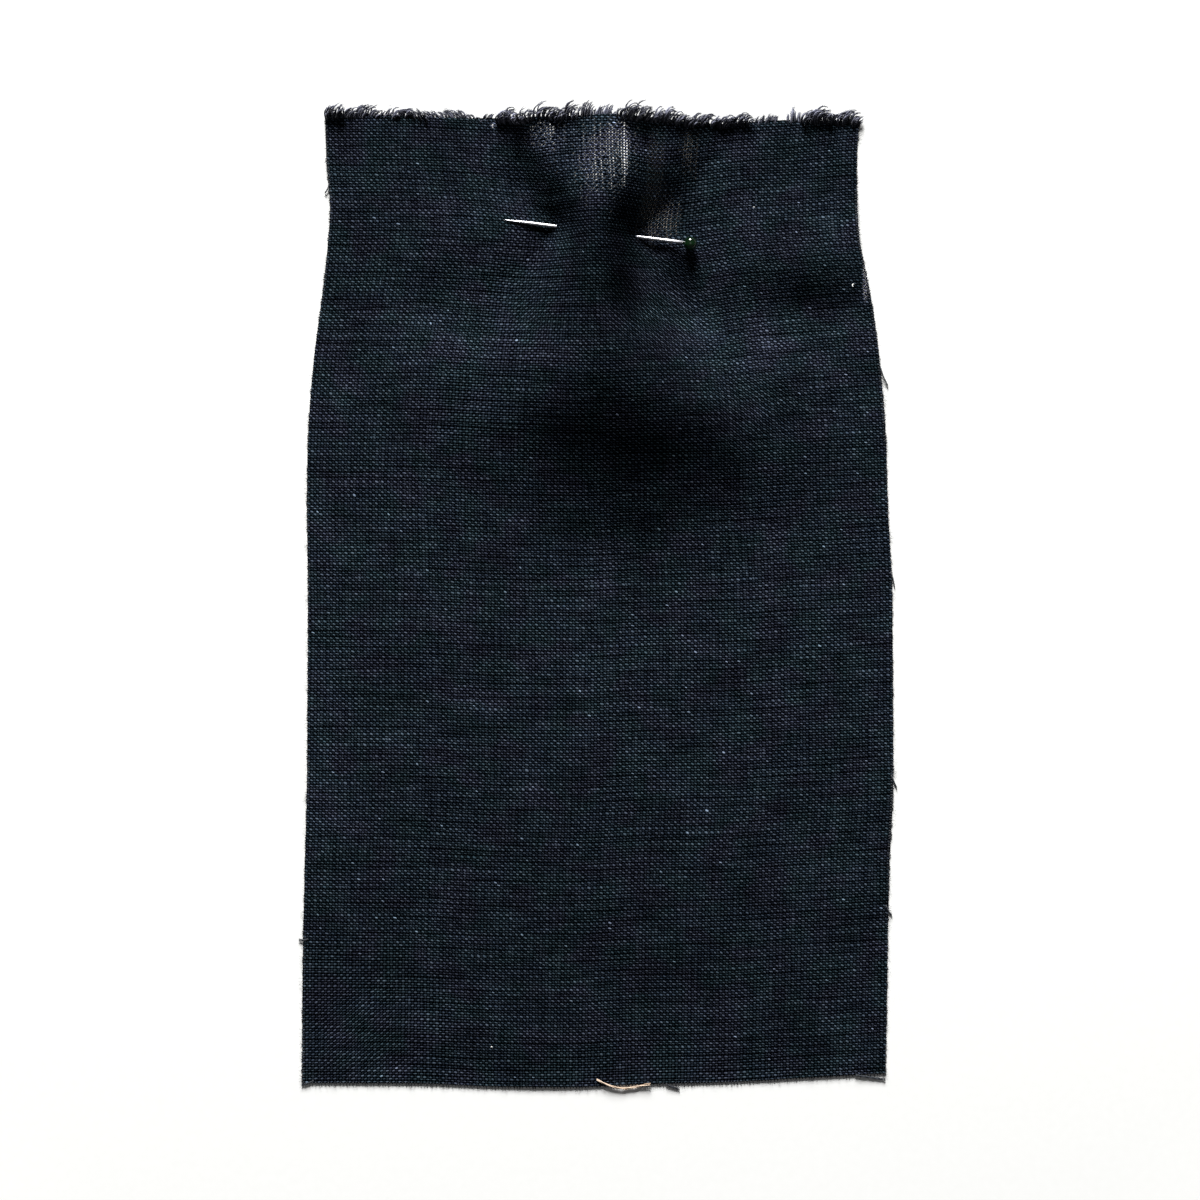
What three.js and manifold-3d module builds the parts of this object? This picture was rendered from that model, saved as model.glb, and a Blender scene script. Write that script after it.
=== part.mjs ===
// A cut length of plain-weave linen that lies flat, with a pinched tuck at the middle of its tufted top edge
// and a glass-headed dressmaker's pin through the tuck.
// Millimetres. +X is to the right, +Y runs along the cloth to its tufted edge, +Z is up.
// The origin is the middle of the footprint, on the surface that the cloth lies on.

import * as THREE from "three";
import { mergeVertices } from "three/addons/utils/BufferGeometryUtils.js";
import Module from "manifold-3d";

const wasm = await Module();
wasm.setup();

// Driving dimensions
const SHEET = 1.0; // thickness of the cloth
const CLEARANCE = 0.3; // gap between neighbouring pieces
const LOWEST = -89; // the bottom edge's nominal place along Y
const HIGHEST = 86; // the top edge's nominal place along Y
const EDGE_FADE = 14; // how far in from an edge its unevenness dies out
const SMALLEST = 0.01; // detail under this is dropped where solids are joined or cut

// The two long sides, which draw in beside the tuck because it takes up width
const SIDES = [
  { y: -89, left: -53.6, right: 52.4 },
  { y: -70, left: -53.5, right: 52.7 },
  { y: -50, left: -53.1, right: 53.1 },
  { y: -34, left: -52.7, right: 53.8 },
  { y: 0, left: -52.5, right: 53.6 },
  { y: 17, left: -52.7, right: 52.8 },
  { y: 28, left: -52.5, right: 52.5 },
  { y: 42, left: -51.5, right: 51.4 },
  { y: 50, left: -50.5, right: 50.4 },
  { y: 57, left: -49.6, right: 49.2 },
  { y: 65, left: -48.8, right: 47.6 },
  { y: 70, left: -48.5, right: 47.3 },
  { y: 79, left: -49.2, right: 47.2 },
  { y: 86, left: -49.4, right: 47.7 },
];

// The cut bottom edge and the top edge at the root of the tufts
const BOTTOM_EDGE = [
  { x: -54, y: -88.9 },
  { x: -36, y: -88.9 },
  { x: -18, y: -89.5 },
  { x: -6, y: -89.6 },
  { x: 8, y: -89.1 },
  { x: 22, y: -88.8 },
  { x: 36, y: -88.0 },
  { x: 53, y: -87.1 },
];
const TOP_EDGE = [
  { x: -50, y: 87.5 },
  { x: -43, y: 87.2 },
  { x: -29, y: 86.5 },
  { x: -18, y: 86.2 },
  { x: -12, y: 85.6 },
  { x: 4, y: 85.4 },
  { x: 20, y: 85.3 },
  { x: 36, y: 86.1 },
  { x: 48, y: 85.9 },
];

// The tuck's ridge, a row for each section across it: where its crest stands, how far its two flanks reach
// from the crest, how high it is and how full its crown is. Its mouth is at the top edge, the pin draws it
// in at 66, and below that it spreads into a broad dome that sinks to the flat cloth at 3.
const TUCK = [
  { y: 86, crest: 2.6, left: 26.5, right: 23.5, height: 10.1, fullness: 0.87 },
  { y: 79, crest: 2.1, left: 22.6, right: 20.4, height: 10.2, fullness: 0.86 },
  { y: 73, crest: 1.0, left: 16.8, right: 15.8, height: 10.1, fullness: 0.88 },
  { y: 66, crest: 0.1, left: 9.4, right: 9.4, height: 9.9, fullness: 1.0 },
  { y: 59, crest: -0.4, left: 13.8, right: 13.8, height: 9.6, fullness: 0.8 },
  { y: 52, crest: 0.0, left: 19.5, right: 20.0, height: 9.3, fullness: 0.72 },
  { y: 45, crest: 1.2, left: 24.5, right: 25.0, height: 9.1, fullness: 0.88 },
  { y: 38, crest: 3.0, left: 27.5, right: 28.0, height: 8.4, fullness: 1.05 },
  { y: 31, crest: 4.6, left: 30.0, right: 31.0, height: 6.6, fullness: 1.15 },
  { y: 24, crest: 5.6, left: 30.0, right: 32.0, height: 4.3, fullness: 1.15 },
  { y: 17, crest: 5.6, left: 27.0, right: 29.0, height: 2.3, fullness: 1.15 },
  { y: 10, crest: 4.8, left: 22.0, right: 23.0, height: 0.9, fullness: 1.1 },
  { y: 3, crest: 4.4, left: 20.0, right: 20.0, height: 0, fullness: 1.0 },
];

// A second, lower crest on the left of the mouth
const SHOULDER = [
  { y: 86, crest: -11.6, reach: 5.6, height: 2.3 },
  { y: 79, crest: -10.2, reach: 4.8, height: 1.5 },
  { y: 72, crest: -7.6, reach: 4.0, height: 0 },
];

// The slight swells that the tuck pushes up in the cloth beside it, each with its reach across, ahead towards
// the top edge and behind
const SWELLS = [
  { x: -26, y: 62, across: 18, ahead: 16, behind: 9, height: 0.9 },
  { x: 37, y: 61, across: 19, ahead: 15, behind: 10, height: 1.9 },
  { x: -24, y: 40, across: 20, ahead: 12, behind: 34, height: 1.7 },
  { x: 31, y: 39, across: 20, ahead: 13, behind: 30, height: 2.1 },
];

// The pin, from its point to the middle of its head
const PIN = {
  point: new THREE.Vector3(-16.9, 67.8, 1.75),
  head: new THREE.Vector3(16.9, 63.4, 2.7),
  shaft: 0.6,
  taper: 5,
  ball: 2.45,
};

// The tufts of the top edge: each one's span along X, how far it stands out, the way it leans and how its
// locks curl. Angles are in radians, and a positive one turns to the right.
const TUFTS = [
  { from: -50.0, to: -45.9, reach: 1.6, lean: -0.3, curl: 0.9 },
  { from: -45.7, to: -40.0, reach: 1.8, lean: 0.2, curl: 1.2 },
  { from: -39.7, to: -33.8, reach: 1.7, lean: -0.2, curl: 1.3 },
  { from: -33.5, to: -30.8, reach: 1.5, lean: 0.1, curl: -1.0 },
  { from: -30.3, to: -22.3, reach: 1.6, lean: -0.5, curl: -1.1 },
  { from: -22.0, to: -17.7, reach: 1.9, lean: 0.3, curl: 1.6 },
  { from: -17.3, to: -14.9, reach: 2.2, lean: 0.3, curl: 1.5 },
  { from: -14.6, to: -7.8, reach: 2.4, lean: -0.1, curl: 1.1 },
  { from: -7.4, to: 0.4, reach: 2.5, lean: 0.1, curl: -1.0 },
  { from: 0.7, to: 7.7, reach: 2.6, lean: 0.2, curl: 1.5 },
  { from: 8.0, to: 15.8, reach: 2.3, lean: 0.3, curl: 1.3 },
  { from: 16.2, to: 22.2, reach: 1.9, lean: -0.2, curl: 1.2 },
  { from: 22.5, to: 32.2, reach: 1.8, lean: 0.2, curl: 0.9 },
  { from: 37.0, to: 42.2, reach: 2.0, lean: 0.2, curl: 1.8 },
  { from: 42.5, to: 47.6, reach: 2.0, lean: 0.1, curl: 1.7 },
];

// The backings that carry the tufts, end to end along the top edge
const BACKINGS = [
  { name: "fringe_left", from: -49.4, to: -17.0 },
  { name: "fringe_left_flank", from: -16.7, to: -8.6 },
  { name: "fringe_crest", from: -8.3, to: 9.0 },
  { name: "fringe_right_flank", from: 9.3, to: 17.3 },
  { name: "fringe_right", from: 17.6, to: 47.6 },
];
const BACKING = { width: 0.8, step: 1.6 };

// A lock of yarn. Its slack is what a curled lock needs over its reach, and it keeps a margin from the
// ends of its backing and stays apart from the next tuft. Its last three are how unevenly locks grow.
const LOCK = {
  pitch: 0.84,
  root: 0.25,
  tip: 0.11,
  bite: 0.4,
  margin: 0.4,
  apart: 0.3,
  steps: 4,
  slack: 1.15,
  lengthVaries: 0.4,
  leanVaries: 0.3,
  curlVaries: 0.6,
};

// Neighbouring locks root at two levels in the backing's thickness, and the upper ones arch over the lower
const LEVELS = [
  { root: 0.27, rise: 0.06 },
  { root: 0.78, rise: 0.5 },
];

// How many sides the round things have
const SIDES_OF = { bar: 12, shaft: 10, ball: 20, ballRings: 14 };

const LINEN = { color: 0x1c2127, roughness: 0.95, metalness: 0 };
const STEEL = { color: 0xd9dade, roughness: 0.25, metalness: 1 };
const GLASS = { color: 0x0c1e0f, roughness: 0.08, metalness: 0 };

// A table's column at a place between its rows, on a curve that never overshoots them
function along(rows, key, column, where) {
  const order = rows[0][key] < rows[1][key] ? rows : [...rows].reverse();
  const last = order.length - 1;
  const at = Math.min(Math.max(where, order[0][key]), order[last][key]);
  const k = Math.min(Math.max(order.findIndex((row) => row[key] >= at) - 1, 0), last - 1);
  const width = (i) => order[i + 1][key] - order[i][key];
  const slope = (i) => (order[i + 1][column] - order[i][column]) / width(i);
  const tangent = (i) => {
    if (i === 0) return slope(0);
    if (i === last) return slope(last - 1);
    const before = slope(i - 1);
    const after = slope(i);
    return before * after > 0 ? (2 * before * after) / (before + after) : 0;
  };
  const t = (at - order[k][key]) / width(k);
  const s = 1 - t;
  return (
    order[k][column] * (1 + 2 * t) * s * s +
    order[k + 1][column] * (3 - 2 * t) * t * t +
    width(k) * (tangent(k) * t * s * s - tangent(k + 1) * t * t * s)
  );
}

// A rounded hump, 1 in its middle and 0 from a distance of 1
function bell(distance, fullness = 1) {
  const t = Math.min(Math.abs(distance), 1);
  return 0.5 * (1 + Math.cos(Math.PI * t ** fullness));
}

// How high the underside of the cloth stands over the surface that it lies on
function lift(x, y) {
  const tuck = (column) => along(TUCK, "y", column, y);
  const shoulder = (column) => along(SHOULDER, "y", column, y);
  const off = x - tuck("crest");
  const ridge = tuck("height") * bell(off / (off < 0 ? tuck("left") : tuck("right")), tuck("fullness"));
  const crest = shoulder("height") * bell((x - shoulder("crest")) / shoulder("reach"));
  const swell = SWELLS.reduce(
    (sum, s) => sum + s.height * bell((x - s.x) / s.across) * bell((y - s.y) / (y > s.y ? s.ahead : s.behind)),
    0,
  );
  return ridge + crest + swell;
}

// The cloth's upward normal
function normalAt(x, y) {
  const h = 0.05;
  const across = (lift(x + h, y) - lift(x - h, y)) / (2 * h);
  const lengthways = (lift(x, y + h) - lift(x, y - h)) / (2 * h);
  return new THREE.Vector3(-across, -lengthways, 1).normalize();
}

// Places across the cloth at given shares of its own width, measured over the ridge
function acrossRow(y, shares) {
  const samples = 300;
  const left = along(SIDES, "y", "left", y);
  const right = along(SIDES, "y", "right", y);
  const xs = Array.from({ length: samples + 1 }, (_, i) => left + ((right - left) * i) / samples);
  const run = [0];
  for (let i = 1; i <= samples; i++) {
    run.push(run[i - 1] + Math.hypot(xs[i] - xs[i - 1], lift(xs[i], y) - lift(xs[i - 1], y)));
  }
  return shares.map((share) => {
    const want = share * run[samples];
    const i = Math.min(Math.max(run.findIndex((r) => r >= want), 1), samples);
    return xs[i - 1] + ((xs[i] - xs[i - 1]) * (want - run[i - 1])) / (run[i] - run[i - 1]);
  });
}

// Where a row of the cloth runs, bent near the two ends to their cut edges
function rowY(y, x) {
  const low = (along(BOTTOM_EDGE, "x", "y", x) - LOWEST) * bell((y - LOWEST) / EDGE_FADE);
  const high = (along(TOP_EDGE, "x", "y", x) - HIGHEST) * bell((y - HIGHEST) / EDGE_FADE);
  return y + low + high;
}

// Even steps from each mark to the next, each span with its own longest step
function spaced(spans) {
  const places = [spans[0].from];
  for (const { from, to, step } of spans) {
    const count = Math.ceil((to - from) / step);
    for (let i = 1; i <= count; i++) places.push(from + ((to - from) * i) / count);
  }
  return places;
}

// A closed sheet of even thickness from rows of points on its underside
function sheetGeometry(rows) {
  const wide = rows[0].length;
  const under = rows.flat();
  const over = under.map(([x, y]) => {
    const raised = normalAt(x, y).multiplyScalar(SHEET);
    return [x + raised.x, y + raised.y, lift(x, y) + raised.z];
  });
  const points = [...under, ...over];
  const faces = [];
  const quad = (a, b, c, d) => faces.push(a, b, c, a, c, d);
  const top = under.length;
  for (let j = 0; j + 1 < rows.length; j++) {
    for (let i = 0; i + 1 < wide; i++) {
      const a = j * wide + i;
      quad(top + a, top + a + 1, top + a + 1 + wide, top + a + wide);
      quad(a, a + wide, a + 1 + wide, a + 1);
    }
    const left = j * wide;
    const right = left + wide - 1;
    quad(left, top + left, top + left + wide, left + wide);
    quad(right, right + wide, top + right + wide, top + right);
  }
  const far = (rows.length - 1) * wide;
  for (let i = 0; i + 1 < wide; i++) {
    quad(i, i + 1, top + i + 1, top + i);
    quad(far + i, top + far + i, top + far + i + 1, far + i + 1);
  }
  return new THREE.BufferGeometry()
    .setAttribute("position", new THREE.Float32BufferAttribute(points.flat(), 3))
    .setIndex(faces);
}

function toSolid(geometry) {
  const bare = geometry.clone();
  bare.deleteAttribute("normal");
  bare.deleteAttribute("uv");
  const merged = mergeVertices(bare);
  return new wasm.Manifold(
    new wasm.Mesh({
      numProp: 3,
      vertProperties: new Float32Array(merged.attributes.position.array),
      triVerts: new Uint32Array(merged.index.array),
    }),
  );
}

function toGeometry(solid) {
  const mesh = solid.simplify(SMALLEST).getMesh();
  return new THREE.BufferGeometry()
    .setAttribute("position", new THREE.BufferAttribute(mesh.vertProperties, 3))
    .setIndex(new THREE.BufferAttribute(mesh.triVerts, 1));
}

// A turned piece: its outline from tail to tip, stood along the line from one point to another
function turnedAlong(outline, sides, from, to) {
  const geometry = new THREE.LatheGeometry(outline, sides);
  const turn = new THREE.Quaternion().setFromUnitVectors(
    new THREE.Vector3(0, 1, 0),
    to.clone().sub(from).normalize(),
  );
  return geometry.applyQuaternion(turn).translate(from.x, from.y, from.z);
}

// A plain round bar along a line, for cutting clearance
function bar(radius, from, to) {
  const length = from.distanceTo(to);
  const outline = [
    new THREE.Vector2(0, 0),
    new THREE.Vector2(radius, 0),
    new THREE.Vector2(radius, length),
    new THREE.Vector2(0, length),
  ];
  return toSolid(turnedAlong(outline, SIDES_OF.bar, from, to));
}

function clothGeometry() {
  const shares = spaced([
    { from: 0, to: 0.22, step: 0.044 },
    { from: 0.22, to: 0.34, step: 0.024 },
    { from: 0.34, to: 0.7, step: 0.0165 },
    { from: 0.7, to: 0.84, step: 0.028 },
    { from: 0.84, to: 1, step: 0.04 },
  ]);
  const places = spaced([
    { from: LOWEST, to: 3, step: 13.2 },
    { from: 3, to: 28, step: 4.2 },
    { from: 28, to: 58, step: 3.0 },
    { from: 58, to: 74, step: 2.0 },
    { from: 74, to: HIGHEST, step: 2.4 },
  ]);
  const rows = places.map((place) =>
    acrossRow(place, shares).map((x) => {
      const y = rowY(place, x);
      return [x, y, lift(x, y)];
    }),
  );
  const behind = PIN.point.clone().sub(PIN.head).setLength(CLEARANCE).add(PIN.point);
  const clearance = bar(PIN.shaft / 2 + CLEARANCE, behind, PIN.head);
  return toGeometry(toSolid(sheetGeometry(rows)).subtract(clearance));
}

// A repeatable offset from -0.5 to 0.5 for the nth lock
function unevenness(n, kind) {
  const wave = Math.sin(n * 12.9898 + kind * 78.233) * 43758.5453;
  return wave - Math.floor(wave) - 0.5;
}

// One lock of yarn: a tapered three-sided strand that curls as it leaves its root
function lockSolid(root, sideways, outwards, upwards, tuft, rise, n) {
  const length = tuft.reach * (LOCK.slack + LOCK.lengthVaries * unevenness(n, 1));
  const lean = tuft.lean + LOCK.leanVaries * unevenness(n, 2);
  const curl = tuft.curl * (1 + LOCK.curlVaries * unevenness(n, 3));
  const points = [];
  const centre = root.clone();
  for (let k = 0; k <= LOCK.steps; k++) {
    const t = k / LOCK.steps;
    const heading = lean + curl * t;
    const radius = LOCK.root + (LOCK.tip - LOCK.root) * t;
    const beside = sideways.clone().multiplyScalar(Math.cos(heading)).addScaledVector(outwards, -Math.sin(heading));
    const middle = centre.clone().addScaledVector(upwards, rise * Math.sin(0.8 * Math.PI * t));
    middle.z = Math.max(middle.z, radius);
    points.push(
      middle.clone().addScaledVector(beside, -radius).addScaledVector(upwards, -radius / 2),
      middle.clone().addScaledVector(beside, radius).addScaledVector(upwards, -radius / 2),
      middle.clone().addScaledVector(upwards, radius),
    );
    centre.addScaledVector(sideways, (length / LOCK.steps) * Math.sin(heading));
    centre.addScaledVector(outwards, (length / LOCK.steps) * Math.cos(heading));
  }
  const faces = [0, 1, 2];
  for (let k = 0; k < LOCK.steps; k++) {
    for (let i = 0; i < 3; i++) {
      const a = 3 * k + i;
      const b = 3 * k + ((i + 1) % 3);
      faces.push(a, a + 3, b + 3, a, b + 3, b);
    }
  }
  const end = 3 * LOCK.steps;
  faces.push(end, end + 2, end + 1);
  const geometry = new THREE.BufferGeometry()
    .setAttribute("position", new THREE.Float32BufferAttribute(points.flatMap((p) => p.toArray()), 3))
    .setIndex(faces);
  return toSolid(geometry);
}

// A backing with its tufts: a narrow strip of the edge and the locks that root in it
function fringeGeometry({ from, to }) {
  const inner = (x) => along(TOP_EDGE, "x", "y", x) + CLEARANCE;
  const xs = spaced([{ from, to, step: BACKING.step }]);
  const rows = [0, BACKING.width].map((out) =>
    xs.map((x) => [x, inner(x) + out, lift(x, inner(x) + out)]),
  );
  const pieces = [toSolid(sheetGeometry(rows))];
  const outwards = new THREE.Vector3(0, 1, 0);
  let x = from + LOCK.margin;
  for (let n = 1; x < to - LOCK.margin; n++) {
    const y = inner(x) + BACKING.width - LOCK.bite;
    const upwards = normalAt(x, y);
    const sideways = new THREE.Vector3(upwards.z, 0, -upwards.x).normalize();
    const tuft = TUFTS.find((row) => x >= row.from + LOCK.apart && x <= row.to - LOCK.apart);
    if (tuft) {
      const level = LEVELS[n % 2];
      const root = new THREE.Vector3(x, y, lift(x, y)).addScaledVector(upwards, level.root * SHEET);
      pieces.push(lockSolid(root, sideways, outwards, upwards, tuft, level.rise, n + Math.round(10 * from)));
    }
    x += LOCK.pitch * sideways.x;
  }
  return toGeometry(wasm.Manifold.union(pieces));
}

// The shaft runs on into the ball's socket, with clearance all round it
function shaftGeometry() {
  const run = PIN.point.distanceTo(PIN.head);
  const radius = PIN.shaft / 2;
  const outline = [
    new THREE.Vector2(0, 0),
    new THREE.Vector2(radius * 0.35, PIN.taper * 0.2),
    new THREE.Vector2(radius * 0.8, PIN.taper * 0.62),
    new THREE.Vector2(radius, PIN.taper),
    new THREE.Vector2(radius, run),
    new THREE.Vector2(0, run),
  ];
  return turnedAlong(outline, SIDES_OF.shaft, PIN.point, PIN.head);
}

function headGeometry() {
  const { x, y, z } = PIN.head;
  const ball = new THREE.SphereGeometry(PIN.ball / 2, SIDES_OF.ball, SIDES_OF.ballRings).translate(x, y, z);
  const beyond = PIN.head.clone().sub(PIN.point).setLength(CLEARANCE).add(PIN.head);
  const socket = bar(PIN.shaft / 2 + CLEARANCE, PIN.point, beyond);
  return toGeometry(toSolid(ball).subtract(socket));
}

function piece(name, geometry, finish) {
  const mesh = new THREE.Mesh(geometry, new THREE.MeshStandardMaterial(finish));
  mesh.name = name;
  return mesh;
}

const tufted = new THREE.Group();
for (const backing of BACKINGS) {
  tufted.add(piece(backing.name, fringeGeometry(backing), LINEN));
}

const pin = new THREE.Group();
pin.add(piece("pin_shaft", shaftGeometry(), STEEL));
pin.add(piece("pin_head", headGeometry(), GLASS));

const fabric = new THREE.Group();
fabric.add(piece("cloth", clothGeometry(), LINEN));
fabric.add(tufted);
fabric.add(pin);

export default fabric;
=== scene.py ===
"""A cut length of navy linen with a pinched tuck: its weave, tufted and raw edges, and the pin that holds it.

Metres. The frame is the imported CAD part's: +X to the right, +Y along the cloth to its tufted edge, +Z up.
"""

import logging
import math
from dataclasses import dataclass
from enum import Enum
from typing import Any, Sequence

import bpy
import numpy as np
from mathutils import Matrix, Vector

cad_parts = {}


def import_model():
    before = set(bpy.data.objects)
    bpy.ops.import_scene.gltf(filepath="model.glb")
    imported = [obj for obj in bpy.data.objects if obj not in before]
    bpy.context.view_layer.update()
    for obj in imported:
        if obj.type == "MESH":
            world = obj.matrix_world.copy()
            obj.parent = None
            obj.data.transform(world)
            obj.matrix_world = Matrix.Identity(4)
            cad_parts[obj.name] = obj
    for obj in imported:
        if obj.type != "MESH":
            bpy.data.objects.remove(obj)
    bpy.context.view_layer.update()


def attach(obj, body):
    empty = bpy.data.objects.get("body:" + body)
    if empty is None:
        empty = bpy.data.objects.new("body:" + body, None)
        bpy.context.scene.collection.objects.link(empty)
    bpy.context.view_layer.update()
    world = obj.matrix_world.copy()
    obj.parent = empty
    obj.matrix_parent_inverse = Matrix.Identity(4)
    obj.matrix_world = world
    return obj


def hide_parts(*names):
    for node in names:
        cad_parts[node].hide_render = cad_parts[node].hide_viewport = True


logger = logging.getLogger("linen")

WARP_PITCH = 0.000564
WEFT_PITCH = 0.000498
Socket = Any
Colour = tuple[float, float, float, float]
Line = tuple[tuple[float, float, float], ...]


class Slot(Enum):
    """The record's material slots."""

    LINEN = "linen"
    TUFTS = "linen_tufts"
    STEEL = "pin_steel"
    GLASS = "pin_glass"


class Layer(Enum):
    """Names of the mesh layers that the shaders read."""

    WEAVE = "weave"
    OPENNESS = "openness"
    SLANT = "slant"
    TONE = "tone"
    # Painted light and shade of the weave: board light through the yarns, shade inside the tuck, and spots.
    PAINTED_LIGHT_AND_SHADE = "painted_light_and_shade"
    GLINT = "glint"


# Shape of the cloth


@dataclass(frozen=True)
class Table:
    """Rows of sizes under named columns; the first column is the place that the others are read at."""

    columns: str
    rows: tuple[tuple[float, ...], ...]

    def column(self, name: str) -> np.ndarray:
        """Return one column, in the order of the first."""
        data = np.array(sorted(self.rows))
        return data[:, self.columns.split().index(name)]

    def at(self, name: str, where: np.ndarray) -> np.ndarray:
        """Read a column between its rows, on a curve that never overshoots them.

        Args:
            name: The column to read.
            where: Places along the first column.

        Returns:
            The column's value at each place.
        """
        key, value = self.column(self.columns.split()[0]), self.column(name)
        width = np.diff(key)
        slope = np.diff(value) / width
        product = slope[:-1] * slope[1:]
        total = slope[:-1] + slope[1:]
        inner = np.where(product > 0, 2 * product / np.where(product > 0, total, 1), 0)
        tangent = np.concatenate([slope[:1], inner, slope[-1:]])
        place = np.clip(where, key[0], key[-1])
        k = np.clip(np.searchsorted(key, place) - 1, 0, len(width) - 1)
        t = (place - key[k]) / width[k]
        s = 1 - t
        return (
            value[k] * (1 + 2 * t) * s * s
            + value[k + 1] * (3 - 2 * t) * t * t
            + width[k] * (tangent[k] * t * s * s - tangent[k + 1] * t * t * s)
        )


def bell(distance: np.ndarray, fullness: np.ndarray | float = 1.0) -> np.ndarray:
    """Return a rounded hump, 1 in its middle and 0 from a distance of 1."""
    return 0.5 * (1 + np.cos(np.pi * np.minimum(np.abs(distance), 1) ** fullness))


@dataclass(frozen=True)
class Ripples:
    """The slight unevenness of cloth that lies flat, as a sum of long shallow waves."""

    seed: int = 11
    waves: int = 26
    longest: float = 0.055
    shortest: float = 0.007
    steepness: float = 0.013
    in_step: float = 4.0

    def height(self, x: np.ndarray, y: np.ndarray) -> np.ndarray:
        """Add the waves up.

        Args:
            x: Places across the cloth.
            y: Places along it.

        Returns:
            The ripples' height over their lowest level.
        """
        chance = np.random.default_rng(self.seed)
        total = np.zeros_like(x)
        for share in np.linspace(0, 1, self.waves):
            length = self.longest * (self.shortest / self.longest) ** share
            heading, phase = chance.uniform(0, 2 * math.pi, 2)
            across = x * math.cos(heading) + y * math.sin(heading)
            amplitude = self.steepness * length / (2 * math.pi) / math.sqrt(self.waves / self.in_step)
            total += amplitude * np.sin(2 * math.pi * across / length + phase)
        return total - total.min()


@dataclass(frozen=True)
class Drape:
    """The folds of the cloth, repeated from the CAD part, as the height of its underside over the floor."""

    lowest: float = -0.089
    highest: float = 0.086
    edge_fade: float = 0.014
    probe: float = 0.00005
    fineness: int = 600
    sides: Table = Table(
        "y left right",
        (
            (-0.089, -0.0536, 0.0524),
            (-0.070, -0.0535, 0.0527),
            (-0.050, -0.0531, 0.0531),
            (-0.034, -0.0527, 0.0538),
            (0.0, -0.0525, 0.0536),
            (0.017, -0.0527, 0.0528),
            (0.028, -0.0525, 0.0525),
            (0.042, -0.0515, 0.0514),
            (0.050, -0.0505, 0.0504),
            (0.057, -0.0496, 0.0492),
            (0.065, -0.0488, 0.0476),
            (0.070, -0.0485, 0.0473),
            (0.079, -0.0492, 0.0472),
            (0.086, -0.0494, 0.0477),
        ),
    )
    bottom_edge: Table = Table(
        "x y",
        (
            (-0.054, -0.0889),
            (-0.036, -0.0889),
            (-0.018, -0.0895),
            (-0.006, -0.0896),
            (0.008, -0.0891),
            (0.022, -0.0888),
            (0.036, -0.0880),
            (0.053, -0.0871),
        ),
    )
    top_edge: Table = Table(
        "x y",
        (
            (-0.050, 0.0875),
            (-0.043, 0.0872),
            (-0.029, 0.0865),
            (-0.018, 0.0862),
            (-0.012, 0.0856),
            (0.004, 0.0854),
            (0.020, 0.0853),
            (0.036, 0.0861),
            (0.048, 0.0859),
        ),
    )
    tuck: Table = Table(
        "y crest left right height fullness",
        (
            (0.086, 0.0026, 0.0265, 0.0235, 0.0101, 0.87),
            (0.079, 0.0021, 0.0226, 0.0204, 0.0102, 0.86),
            (0.073, 0.0010, 0.0168, 0.0158, 0.0101, 0.88),
            (0.066, 0.0001, 0.0094, 0.0094, 0.0099, 1.0),
            (0.059, -0.0004, 0.0138, 0.0138, 0.0096, 0.8),
            (0.052, 0.0000, 0.0195, 0.0200, 0.0093, 0.72),
            (0.045, 0.0012, 0.0245, 0.0250, 0.0091, 0.88),
            (0.038, 0.0030, 0.0275, 0.0280, 0.0084, 1.05),
            (0.031, 0.0046, 0.0300, 0.0310, 0.0066, 1.15),
            (0.024, 0.0056, 0.0300, 0.0320, 0.0043, 1.15),
            (0.017, 0.0056, 0.0270, 0.0290, 0.0023, 1.15),
            (0.010, 0.0048, 0.0220, 0.0230, 0.0009, 1.1),
            (0.003, 0.0044, 0.0200, 0.0200, 0.0, 1.0),
        ),
    )
    shoulder: Table = Table(
        "y crest reach height",
        (
            (0.086, -0.0116, 0.0056, 0.0023),
            (0.079, -0.0102, 0.0048, 0.0015),
            (0.072, -0.0076, 0.0040, 0.0),
        ),
    )
    swells: Table = Table(
        "x y across ahead behind height",
        (
            (-0.026, 0.062, 0.018, 0.016, 0.009, 0.0009),
            (0.037, 0.061, 0.019, 0.015, 0.010, 0.0019),
            (-0.024, 0.040, 0.020, 0.012, 0.034, 0.0017),
            (0.031, 0.039, 0.020, 0.013, 0.030, 0.0021),
        ),
    )

    def lift(self, x: np.ndarray, y: np.ndarray) -> np.ndarray:
        """Work out the folds.

        Args:
            x: Places across the cloth.
            y: Places along it.

        Returns:
            How high the cloth's underside stands over the floor at each place.
        """
        off = x - self.tuck.at("crest", y)
        reach = np.where(off < 0, self.tuck.at("left", y), self.tuck.at("right", y))
        ridge = self.tuck.at("height", y) * bell(off / reach, self.tuck.at("fullness", y))
        beside = (x - self.shoulder.at("crest", y)) / self.shoulder.at("reach", y)
        height = ridge + self.shoulder.at("height", y) * bell(beside)
        for middle, level, across, ahead, behind, swell in self.swells.rows:
            reach = np.where(y > level, ahead, behind)
            height = height + swell * bell((x - middle) / across) * bell((y - level) / reach)
        return height

    def normal(self, x: np.ndarray, y: np.ndarray) -> np.ndarray:
        """Work out which way the cloth faces.

        Args:
            x: Places across the cloth.
            y: Places along it.

        Returns:
            Upward normals of unit length, one row each.
        """
        h = self.probe
        across = (self.lift(x + h, y) - self.lift(x - h, y)) / (2 * h)
        lengthways = (self.lift(x, y + h) - self.lift(x, y - h)) / (2 * h)
        normal = np.stack([-across, -lengthways, np.ones_like(across)], axis=-1)
        return normal / np.linalg.norm(normal, axis=-1, keepdims=True)

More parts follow.
